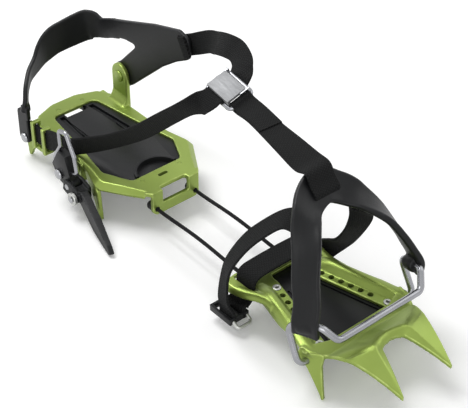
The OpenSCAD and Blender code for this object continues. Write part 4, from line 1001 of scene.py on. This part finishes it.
# Heel plate
# One pressed and folded sheet of green anodised aluminium: a ring with rolled front edges and four
# points folded down, a front flange with a notch and two cord holes, slotted rear flanges with keeper
# bars on the near one, a post and a lug.
HEEL_Z = 27.0
HEEL_SHEET = 3.0
HEEL_BOTTOM = HEEL_Z - HEEL_SHEET
HEEL_HALF = 30.0
HEEL_OUTER = [
    (-180, 0), (-180, 10), (-174.5, 24), (-164, 30), (-117, 30), (-92, 37.5), (-87, 36.9), (-62, 20.5),
    (-58.6, 18), (-58.6, 0)]
HEEL_OPENING = [
    (-167.5, 0), (-167.5, 14.6), (-164.5, 17), (-121, 23.6), (-97, 28), (-78, 19), (-78, 0)]
HEEL_ROLL = [
    (-119, 30, 0.4), (-106, 33.3, 2.4), (-93, 37.2, 3.4), (-87.5, 37, 3.6), (-74, 28.6, 3.4),
    (-62.5, 21.3, 2.4)]
ROLL_LOW = 21.8
ROLL_OVER = 0.4
ROLL_OUT = 1.2
FLARE_X = -117.0
FLARE_TURN = math.atan2(7.5, 25)
FLARE_L = math.hypot(7.5, 25)
FRONT_BLADE = [
    (-2, HEEL_Z - 0.6), (8, HEEL_Z - 2), (FLARE_L - 3, HEEL_Z - 3.6), (FLARE_L + 2.4, HEEL_BOTTOM - 3),
    (FLARE_L + 4, 10), (FLARE_L + 5.2, 0), (FLARE_L + 3.8, 0), (FLARE_L - 3, 8), (FLARE_L - 13, 15.5),
    (5, 19), (-2, 20.5)]
REAR_BLADE = [
    (-176, HEEL_Z - 2.4), (-155.6, HEEL_Z - 2.4), (-155.6, 11), (-158.5, 8.6), (-169, 8.2), (-171.8, 5),
    (-174, -0.1), (-175.2, -0.1), (-178.4, 9), (-178.4, 22)]
REAR_SPLAY = math.radians(6)
REAR_SLOT = oblong(-171, 11.6, -160, 22.6)
FRONT_FLANGE = [(-18, HEEL_Z), (18, HEEL_Z), (18, 12.2), (15.5, 9.7), (-15.5, 9.7), (-18, 12.2)]
FRONT_FLANGE_X = (-61.4, -58.4)
FLANGE_NOTCH = oblong(-62.6, -10, -50, 10)
FLANGE_NOTCH_Z = 17.2
RING_NOTCH = oblong(-73, -3.5, -70.4, 3.5)
KEEPER_BARS = (-165.6, -153.9)
KEEPER_HALF = 1.6
KEEPER_BOXES = [
    (12, 31.5, -34.8, -32.8), (29.6, 31.5, -34.8, -28), (25, 31.5, -30, -28), (11.5, 13.8, -34.8, -27)]
POST_X = -155.0
POST_R = 8.0
POST_TOP = HEEL_Z + 28
POST_Y = (29, 32)
POST_FOOT = [(24, 26.5), (31.8, 26.5), (31.8, 34), (29.2, 34), (28, 30.5), (26.4, 28.2)]
POST_HOLE_Z = 46.0
LUG = oblong(-125, 12, -113, 26.6)
LUG_Y = (-33, -28.5)
LUG_HOLE_X = -121.0
LUG_HOLE_Z = 20.0
LUG_HOLE_D = 4.0
TAIL_HOLE_X = -174.6
TAIL_HOLE_Z = 15.0
RIVET_HOLE_D = 4.1
RING_HOLE_D = 3.1
CORD_HOLE_X = -60.0
CORD_HOLE_D = 3.6
HEEL_RIVETS_AT = [(-171.6, 9.5), (-171.6, -9.5), (-73.6, 14.5), (-73.6, -14.5)]
ABOVE_HEEL = 40.0


def upright_along_y(name, outline, x0, x1):
    piece = plate(name, outline, -x1, -x0, upright=True)
    piece.data.transform(Matrix.Rotation(math.radians(90), 4, "Z"))
    return piece


heel_ring = carved(
    plate("heel_ring", rounded(both_halves(HEEL_OUTER), 4), HEEL_BOTTOM, HEEL_Z),
    [plate("opening", rounded(both_halves(HEEL_OPENING), 4), 0, ABOVE_HEEL)])
front_blade = plate("front_blade", rounded(FRONT_BLADE, 1.6), -HEEL_SHEET, 0, upright=True)
front_blade.data.transform(
    Matrix.Translation(Vector((FLARE_X, HEEL_HALF, 0)) * MM) @ Matrix.Rotation(FLARE_TURN, 4, "Z"))
rear_blade = carved(
    plate("rear_blade", rounded(REAR_BLADE, 1.4), -HEEL_SHEET, 0, upright=True),
    [plate("slot", rounded(REAR_SLOT, 1.4), -10, 10, upright=True)])
rear_blade.data.transform(
    Matrix.Translation(Vector((0, HEEL_HALF, HEEL_Z)) * MM)
    @ Matrix.Rotation(REAR_SPLAY, 4, "X")
    @ Matrix.Translation(Vector((0, 0, -HEEL_Z)) * MM))
front_flange = upright_along_y("front_flange", FRONT_FLANGE, *FRONT_FLANGE_X)


def along_roll(section):
    rings = []
    spots = [Vector((x, y)) for x, y, _ in HEEL_ROLL]
    for i, (x, y, leg) in enumerate(HEEL_ROLL):
        along = tangent(spots, i)
        rings.append([Vector((x - along.y * d, y + along.x * d, z)) for d, z in section(leg)])
    return rings


def lip_section(leg):
    low = HEEL_BOTTOM - (HEEL_BOTTOM - ROLL_LOW) * min(leg / 3, 1)
    return [(-HEEL_SHEET, low), (0, low), (0, HEEL_Z), (-HEEL_SHEET, HEEL_Z)]


def roll_section(leg):
    top = HEEL_Z + ROLL_OVER
    return [(-leg - ROLL_OVER, top), (ROLL_OUT, top), (ROLL_OUT, HEEL_Z - leg - ROLL_OUT)]


roll_lip = lofted("roll_lip", along_roll(lip_section))
roll_cut = lofted("roll_cut", along_roll(roll_section))
keepers = []
for bar_x in KEEPER_BARS:
    for low, high, y0, y1 in KEEPER_BOXES:
        bar = oblong(bar_x - KEEPER_HALF, low, bar_x + KEEPER_HALF, high)
        keepers.append(plate("keeper", bar, y0, y1, upright=True))
post_outline = [(POST_X - POST_R, HEEL_BOTTOM), (POST_X + POST_R, HEEL_BOTTOM)]
for i in range(25):
    turn = math.pi * i / 24
    post_outline.append((POST_X + POST_R * math.cos(turn), POST_TOP - POST_R * (1 - math.sin(turn))))
post = plate("post", post_outline, *POST_Y, upright=True)
post_foot = upright_along_y("post_foot", POST_FOOT, POST_X - POST_R, POST_X + POST_R)
lug = plate("lug", rounded(LUG, 1.5), *LUG_Y, upright=True)
heel_sides = [front_blade, rear_blade, roll_lip]
heel_sides += [mirrored_piece("twin", part) for part in heel_sides]
heel_parts = [heel_ring, front_flange, post, post_foot, lug] + heel_sides + keepers
heel_rough = carved(melted("heel_rough", heel_parts, PLATE_VOXEL, 0), [
    roll_cut, mirrored_piece("twin", roll_cut),
    plate("window", rounded(FLANGE_NOTCH, 1.6), FLANGE_NOTCH_Z, ABOVE_HEEL)])
heel_plate = melted("heel_plate_pressed", [heel_rough], PLATE_VOXEL, 10)
heel_tools = [plate("notch", rounded(RING_NOTCH, 1.2), 20, 30)]
for x, y in HEEL_RIVETS_AT:
    heel_tools.append(drill((x, y, HEEL_BOTTOM + 1), (0, 0, 1), RING_HOLE_D, 12))
for side in (-1, 1):
    heel_tools.append(drill((CORD_HOLE_X, side * CORD_HALF, CORD_Z), (1, 0, 0), CORD_HOLE_D))
heel_tools.append(drill((POST_X, 30, POST_HOLE_Z), (0, 1, 0), RIVET_HOLE_D))
heel_tools.append(drill((TAIL_HOLE_X, -31, TAIL_HOLE_Z), (0, 1, 0), RIVET_HOLE_D))
heel_tools.append(drill((LUG_HOLE_X, -31, LUG_HOLE_Z), (0, 1, 0), LUG_HOLE_D))
heel_plate = mark_edges(carved(heel_plate, heel_tools))
fit(heel_plate, green_anodised, "green_metal", "heel", "heel_plate")

# Heel snow plate
# A black moulded plate clipped into the heel ring, with a slit at the back, two long grooves and a
# raised lip round a concave arch at its front. Four flush rivets, green like the ring, hold it.
SNOW_SLIT = oblong(-172, -8.5, -162.8, 7)
SNOW_GROOVE = [(-165, 9.7), (-126, 13.5), (-126, 17), (-165, 13.4)]
SNOW_GROOVE_Z = 23.4
RIVET_PROFILE = [
    (1.4, 20.7), (2.3, 20.8), (2.7, 21.2), (2.7, 21.6), (1.5, 21.62), (1.5, 26.7), (1.3, 26.9)]
snow_tools = [plate("slit", SNOW_SLIT, 0, ABOVE_HEEL)]
for outline in (SNOW_GROOVE, other_side(SNOW_GROOVE)):
    snow_tools.append(plate("groove", outline, SNOW_GROOVE_Z, ABOVE_HEEL))
heel_snow = carved(merged_copy("heel_snow_plate_moulded", "heel_snow_plate"), snow_tools)
heel_snow = round_edges(heel_snow, 0.45, 3)
fit(heel_snow, moulding_black, "moulding", "heel", "heel_snow_plate")
heel_rivets = [turned("heel_rivet", RIVET_PROFILE, (x, y, 0), (0, 0, 1), 28) for x, y in HEEL_RIVETS_AT]
fit(joined("heel_rivets_flush", heel_rivets), green_anodised, "wire", "heel", "heel_rivets")

# Heel cradle
# A black moulded band round the boot's heel: it starts on the post at the far side, forks to a slot
# for the ankle strap, wraps round the back and comes down to the near rear flange.
CRADLE_T = 2.8
CRADLE_BULGE = 0.4
CRADLE_Y = 32.1
CRADLE_OUTLINE = [
    (-161.5, 51), (-148, 39.5), (-112, 72), (-97, 83), (-84, 90.5), (-84, 104.5), (-94, 107), (-120, 99.5),
    (-146, 90), (-165, 83.3), (-166, 70.5), (-150, 74.5), (-138, 75.5)]
CRADLE_BAND = [
    (-160, 33.5, 78.1), (-168, 33.5, 74.9), (-173, 33.1, 72.8), (-176, 32.6, 71.9), (-179, 31.6, 72),
    (-183, 29, 72.5), (-187, 25, 71.2), (-191.5, 14, 67.4), (-193, 5, 65), (-192.6, -4, 60),
    (-190, -11.5, 55.7), (-185, -20.3, 53), (-180, -25.8, 51), (-176, -29.8, 47.8), (-173, -32.6, 42),
    (-172.6, -33.8, 36)]
CRADLE_WIDTHS = [14, 13.8, 14.1, 14.9, 17.4, 21.6, 22.7, 22.2, 21.9, 18.5, 13.5, 10, 8.2, 7.4, 7, 7]
CRADLE_END_R = 9.0
TAIL_Y = -33.8
TAIL_NECK = oblong(-176.2, 31, -169, 40)
TAIL_PAD = oblong(-181.1, 12, -170.1, 36)
CRADLE_SLOT = oblong(-1.5, -7.5, 1.5, 7.5)
CRADLE_SLOT_AT = Vector((-90, 97.3))
CRADLE_SLOT_LEAN = math.radians(28)
CRADLE_RIVET = [
    (3.2, 28.0), (3.7, 28.1), (3.95, 28.4), (4.0, 28.9), (2.0, 29.0), (2.0, 35.9), (3.4, 36.0), (3.4, 36.7),
    (2.9, 37.3), (1.6, 37.6), (0.6, 37.65)]
WASHER = [(2.1, 34.95), (4.2, 34.95), (4.5, 35.2), (4.5, 35.7), (4.2, 35.95), (2.1, 35.95), (2.1, 34.95)]
TAIL_RIVET = [
    (1.6, -26.0), (2.0, -26.3), (2.0, -35.2), (3.2, -35.25), (3.4, -35.6), (3.1, -36.3), (2.2, -36.8),
    (0.8, -36.9)]


def cradle_section(width):
    half = width / 2
    shares = (0.9, 0.6, 0.3, 0, -0.3, -0.6, -0.9)
    outside = [(half * k, CRADLE_T / 2 + CRADLE_BULGE * (1 - k * k)) for k in shares]
    rim = [(-half, 0.5), (-half, -0.8), (-half + 0.6, -CRADLE_T / 2)]
    return outside + rim + [(-a, b) for a, b in reversed(rim)]


cradle_route = smooth_route(vectors(CRADLE_BAND), 8)
cradle_band = lofted("cradle_band", band_rings(
    cradle_route, [Vector((0, 0, 1))] * len(cradle_route), smooth_route(CRADLE_WIDTHS, 8), cradle_section))
cradle_end = []
for i in range(40):
    turn = 2 * math.pi * i / 40
    cradle_end.append((POST_X + CRADLE_END_R * math.cos(turn), POST_HOLE_Z + CRADLE_END_R * math.sin(turn)))
cradle_parts = [cradle_band]
for part_name, outline, low_y in (
    ("cradle_arm", rounded(CRADLE_OUTLINE, 5), CRADLE_Y),
    ("cradle_end", cradle_end, CRADLE_Y),
    ("tail_neck", TAIL_NECK, TAIL_Y - CRADLE_T / 2),
    ("tail_pad", rounded(TAIL_PAD, 3), TAIL_Y - CRADLE_T / 2),
):
    cradle_parts.append(plate(part_name, outline, low_y, low_y + CRADLE_T, upright=True))
cradle = melted("heel_cradle_moulded", cradle_parts, MOULD_VOXEL, 5)
slot_turn = Matrix.Rotation(CRADLE_SLOT_LEAN, 2)
slot_corners = [tuple(CRADLE_SLOT_AT + slot_turn @ Vector(p)) for p in rounded(CRADLE_SLOT, 1.2)]
cradle = mark_edges(carved(cradle, [
    plate("slot", slot_corners, 28, 40, upright=True),
    drill((POST_X, 33.5, POST_HOLE_Z), (0, 1, 0), RIVET_HOLE_D),
    drill((TAIL_HOLE_X, TAIL_Y, TAIL_HOLE_Z), (0, 1, 0), RIVET_HOLE_D)]))
fit(cradle, moulding_black, "moulding", "heel", "heel_cradle")
post_hole = (POST_X, 0, POST_HOLE_Z)
cradle_rivet = turned("cradle_rivet_domed", CRADLE_RIVET, post_hole, (0, 1, 0))
fit(cradle_rivet, green_anodised, "wire", "heel", "cradle_rivet")
washer = turned("cradle_washer_flat", WASHER, post_hole, (0, 1, 0), hollow=True)
fit(washer, steel_bright, "wire", "heel", "cradle_washer")
tail_rivet = turned("tail_rivet_domed", TAIL_RIVET, (TAIL_HOLE_X, 0, TAIL_HOLE_Z), (0, 1, 0))
fit(tail_rivet, steel_bright, "wire", "heel", "tail_rivet")

# Ankle strap
# Narrow black webbing: the near length comes down from the buckle and lies outside the rear flange,
# behind its keeper bars. The far length is looped through the cradle's slot and sewn to itself.
ANKLE_W = 14.0
BUCKLE_AT = Vector((-15.5, 6.9, 113.4))
BUCKLE_TURN = (
    Matrix.Rotation(math.radians(-2), 3, "Z") @ Matrix.Rotation(math.radians(7.5), 3, "Y")
    @ Matrix.Rotation(math.radians(21), 3, "X"))
WEB_UNDER = -2.45
WEB_CLEAR = 1.1


def buckle_way(v):
    return BUCKLE_TURN @ Vector(v)


def buckle_point(p):
    return BUCKLE_AT + buckle_way(p)


def slot_point(along, out):
    return Vector((
        CRADLE_SLOT_AT.x + along * math.cos(CRADLE_SLOT_LEAN), CRADLE_Y + out,
        CRADLE_SLOT_AT.y + along * math.sin(CRADLE_SLOT_LEAN)))


ANKLE_NEAR = [
    buckle_point((-1, -3, -0.8)), buckle_point((-1, -5.4, 0.4)), buckle_point((-1.4, -7.8, 2.3)),
    buckle_point((-2.8, -10.6, 1.4)), buckle_point((-5.4, -14, -1.2)),
    (-27.5, -8.6, 104), (-35, -11.2, 98.2), (-47, -13.4, 87.6), (-70, -17.5, 66.8), (-92, -21.5, 51),
    (-108, -25.4, 41.4), (-119, -29.2, 35.6),
    (-126, -31.6, 33), (-134, -33, 31), (-143, -32.6, 28), (-150, -31.8, 24.5), (-157, -31.7, 22.4),
    (-171, -31.7, 22)]
ANKLE_NEAR_ACROSS = [buckle_way((-1, 0, 0))] * 5 + [
    (-0.6, -0.5, 0.55), (-0.3, -0.7, 0.62), (-0.3, -0.7, 0.62), (-0.36, -0.66, 0.65), (-0.35, -0.62, 0.7),
    (-0.2, -0.45, 0.85), (-0.1, -0.35, 0.93), (0, -0.2, 0.98), (0, -0.05, 1)] + [(0, 0, 1)] * 4
ANKLE_FAR = [
    slot_point(7, -WEB_CLEAR), slot_point(2.2, -WEB_CLEAR), slot_point(0, -0.4),
    slot_point(0, CRADLE_T + 0.4), slot_point(2.2, CRADLE_T + WEB_CLEAR),
    slot_point(9, CRADLE_T + WEB_CLEAR + 0.4), (-70, 37, 108.4), (-60, 34, 113.4), (-52, 30.6, 118),
    (-43, 28.6, 121.4), (-35, 28, 122.6), (-29, 26.2, 122.4), (-23.6, 23.4, 121.4), (-20.6, 20.6, 120),
    buckle_point((-3, 11, 0.6)), buckle_point((-2.4, 7.6, -1.6)), buckle_point((-1.6, 4, WEB_UNDER))]
ANKLE_FAR_ACROSS = [(-0.47, 0, 0.88)] * 6 + [
    (-0.4, 0.3, 0.85), (-0.25, 0.45, 0.83), (-0.05, 0.5, 0.83), (0.1, 0.5, 0.83), (0.3, 0.5, 0.78),
    (0.5, 0.5, 0.7), (0.7, 0.5, 0.5), (0.8, 0.45, 0.35), buckle_way((1, 0.2, 0)), buckle_way((1, 0, 0)),
    buckle_way((1, 0, 0))]
ankle_near = webbing("ankle_strap_near_web", ANKLE_NEAR, ANKLE_NEAR_ACROSS, ANKLE_W)
fit(ankle_near, webbing_black, "webbing", "heel", "ankle_strap_near")
ankle_far = webbing("ankle_strap_far_web", ANKLE_FAR, ANKLE_FAR_ACROSS, ANKLE_W)
fit(ankle_far, webbing_black, "webbing", "heel", "ankle_strap_far")

# Connecting strap
# Black webbing, sewn in a loop round the buckle's front bar, that runs forward over the yoke's crown
# and is tucked back under it. It is in three lengths.
STRAP_W = 18.0
STRAP_CUTS = [0, 88, 103, 190]


def crown_point(x, z):
    return CROWN + Matrix.Rotation(CROWN_LEAN, 3, "Y") @ Vector((x, 0, z))


CONNECTING = [
    (24, 3.2, 111), (12, 4.5, 112.5), buckle_point((15.5, 0, 0.6)), buckle_point((11.4, 0, 2.4)),
    buckle_point((9.4, 0, 1.6)), buckle_point((8.8, 0, 0)), buckle_point((9.5, 0, -1.7)),
    buckle_point((13.2, 0, WEB_UNDER)), (11, 4.6, 111.2), (26, 3, 110), (42, 1.5, 108.6), (56, 0.4, 107),
    crown_point(-9, 4.4), crown_point(-2, YOKE_T / 2 + WEB_CLEAR), crown_point(4, YOKE_T / 2 + 0.8),
    crown_point(5.6, 0.4), crown_point(5.6, -YOKE_T / 2 - 1.2), crown_point(4, -YOKE_T / 2 - 2.6),
    crown_point(0, -YOKE_T / 2 - 3), crown_point(-3, -YOKE_T / 2 - 3)]
CONNECTING_ACROSS = [(0.03, 0.99, 0.06), (0.05, 0.99, 0.1)] + [buckle_way((0, 1, 0))] * 6 + [
    (0.05, 0.99, 0.1), (0.03, 0.99, 0.06), (0.01, 0.99, 0.12), (0, 0.98, 0.18)] + [(0, 1, 0)] * 8
CONNECTING_WIDTHS = [15.3, 14.4] + [13.7] * 6 + [14.4, 15.5, 17.1] + [STRAP_W] * 9
connecting_route = smooth_route(vectors(CONNECTING), 10)
connecting_across = smooth_route(vectors(CONNECTING_ACROSS), 10)
connecting_lengths = [v / UV_MM for v in lengths_along(connecting_route)]
connecting_rings = band_rings(
    connecting_route, connecting_across, smooth_route(CONNECTING_WIDTHS, 10), web_section)
strap_around = [a / UV_MM for a, _ in web_section(STRAP_W)]
strap_around.append(strap_around[0])
for part, (start, end) in enumerate(zip(STRAP_CUTS, STRAP_CUTS[1:])):
    length = skin(
        "connecting_strap_web_%d" % (part + 1), connecting_rings[start:end + 1], strap_around,
        connecting_lengths[start:end + 1])
    fit(length, webbing_black, "webbing", None, "connecting_strap")
    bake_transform(length)

# Buckle
# A bent steel frame with two cheeks, a cross pin and a sprung flap of brushed aluminium that clamps
# the ankle strap. The flap's face is plain and a little larger than its solid's.
FLAP_GROWTH = (1.12, 1.12, 1.0)
buckle_frame = rounded_copy("buckle_frame_bent", "buckle_frame", 0.3, 2, 40)
fit(buckle_frame, wire_steel, "wire", "heel", "buckle_frame")
buckle_pin = rounded_copy("buckle_pin_turned", "buckle_pin", 0.3, 2)
fit(buckle_pin, wire_steel, "wire", "heel", "buckle_pin")
brushed_plate = mottled_finish(
    "brushed_plate", ((118, 119, 121), (130, 131, 133)), metallic=0.35, roughness=(0.48, 0.3),
    grain_scale=900.0, bump_depth=0.008, wear_and_highlight_amount=0.5, worn_and_highlit=(215, 215, 215), stretch=(0.15, 1.0, 1.0))
flap = rounded_copy("buckle_flap_pressed", "buckle_flap", 0.5, 3)
flap_middle = sum((vert.co for vert in flap.data.vertices), Vector()) / len(flap.data.vertices)
flap_turn = BUCKLE_TURN.to_4x4()
flap.data.transform(
    Matrix.Translation(flap_middle) @ flap_turn @ Matrix.Diagonal(FLAP_GROWTH).to_4x4()
    @ flap_turn.inverted() @ Matrix.Translation(-flap_middle))
fit(flap, brushed_plate, "pale_metal", "flap", "buckle_flap")

# Side lever
# A steel rivet on the lug carries a moulded block with a bent wire loop. The long moulded lever is
# forked round the block on a pin, and a small dial turns on its outer face.
BLOCK_MID = -41.5
FRAME_D = 3.0
FRAME_BEND = 2.6
FRAME_PATH = [
    (-121, 23), (-130, 26.5), (-121, 40), (-121.5, 51.5), (-113.5, 53.5), (-106.5, 39), (-104.8, 28),
    (-112, 24)]
LEVER_RIVET = [
    (1.6, 27.3), (2.0, 27.6), (2.0, 44.8), (3.4, 44.85), (3.5, 45.4), (3.1, 46.1), (2.0, 46.45),
    (0.6, 46.5)]
LEVER_X = -110.0
LEVER_Z = 17.0
LEVER_PIN = [(1.7, 35.9), (2.0, 36.2), (2.0, 46.8), (1.7, 47.1)]
TAIL_TURN = math.radians(15)
TAIL_X = -101.0
TAPER_X = -74.0
TAPER_L = 18.0
TAPER_SHARE = 0.4
LEVER_COVER = [
    (1.5, -7.4), (1.5, 2.2), (9, 1.4), (26, -3.4), (45.5, -10.6), (49.5, -14), (48, -16.4), (41, -16),
    (24, -14), (9, -9.8)]
COVER_HALF = 2.7
DIAL_AT = (-101.5, 0, 13.5)
DIAL_PIN = [(1.5, 44.8), (1.5, 49.9), (2.1, 49.95), (2.2, 50.2), (2.0, 50.5), (0.6, 50.6)]
DIAL = [
    (1.56, 47.4), (3.9, 47.4), (4.2, 47.7), (4.2, 49.2), (3.9, 49.6), (3.1, 49.6), (2.9, 49.3), (1.9, 49.3),
    (1.56, 49.5), (1.56, 47.4)]
lever_rivet = turned("lever_rivet_domed", LEVER_RIVET, (LUG_HOLE_X, 0, LUG_HOLE_Z), (0, -1, 0))
fit(lever_rivet, steel_bright, "wire", "heel", "lever_rivet")
lever_block = rounded_copy("lever_block_moulded", "lever_block", 0.7, 3)
fit(lever_block, moulding_black, "moulding", "lever_frame", "lever_block")
frame_points = [Vector((x, BLOCK_MID, z)) for x, z in FRAME_PATH]
frame_wire = tube("lever_frame_bent", bent_route(frame_points, FRAME_BEND), FRAME_D)
fit(frame_wire, wire_steel, "wire", "lever_frame", "lever_frame_wire")
lever_pin = turned("lever_pin_turned", LEVER_PIN, (LEVER_X, 0, LEVER_Z), (0, -1, 0), 28)
fit(lever_pin, steel_bright, "wire", "lever_frame", "lever_pin")
lever_grey = mottled_finish(
    "lever_grey", ((17, 18, 20), (25, 26, 28)), metallic=0.0, roughness=(0.5, 0.2),
    grain_scale=1200.0, bump_depth=0.03, wear_and_highlight_amount=0.4, worn_and_highlit=(80, 81, 83), Specular_IOR_Level=0.26)
lever_cover = plate("lever_cover", rounded(LEVER_COVER, 2.5), -COVER_HALF, COVER_HALF, upright=True)
lever_cover.data.transform(
    Matrix.Translation(Vector((TAIL_X, BLOCK_MID, LEVER_Z)) * MM) @ Matrix.Rotation(-TAIL_TURN, 4, "Z"))
lever = carved(merged_copy("lever_body_moulded", "lever_body"), [lever_cover], "UNION")
for vert in lever.data.vertices:
    share = min(max((vert.co.x / MM - TAPER_X) / TAPER_L, 0.0), 1.0)
    middle = (BLOCK_MID - (vert.co.x / MM - TAIL_X) * math.tan(TAIL_TURN)) * MM
    vert.co.y = middle + (vert.co.y - middle) * (1 - TAPER_SHARE * share)
lever = melted("lever_body_moulded", [lever], 0.4, 5)
lever = mark_edges(carved(lever, [drill((LEVER_X, BLOCK_MID, LEVER_Z), (0, 1, 0), RIVET_HOLE_D, 20)]))
fit(lever, lever_grey, "moulding", "lever", "lever_body")
dial_pin = turned("dial_pin_turned", DIAL_PIN, DIAL_AT, (0, -1, 0), 28)
fit(dial_pin, steel_bright, "wire", "lever", "dial_pin")
dial = turned("lever_dial_ring", DIAL, DIAL_AT, (0, -1, 0), hollow=True)
fit(dial, pale_metal, "hard_plastic", "dial", "lever_dial")
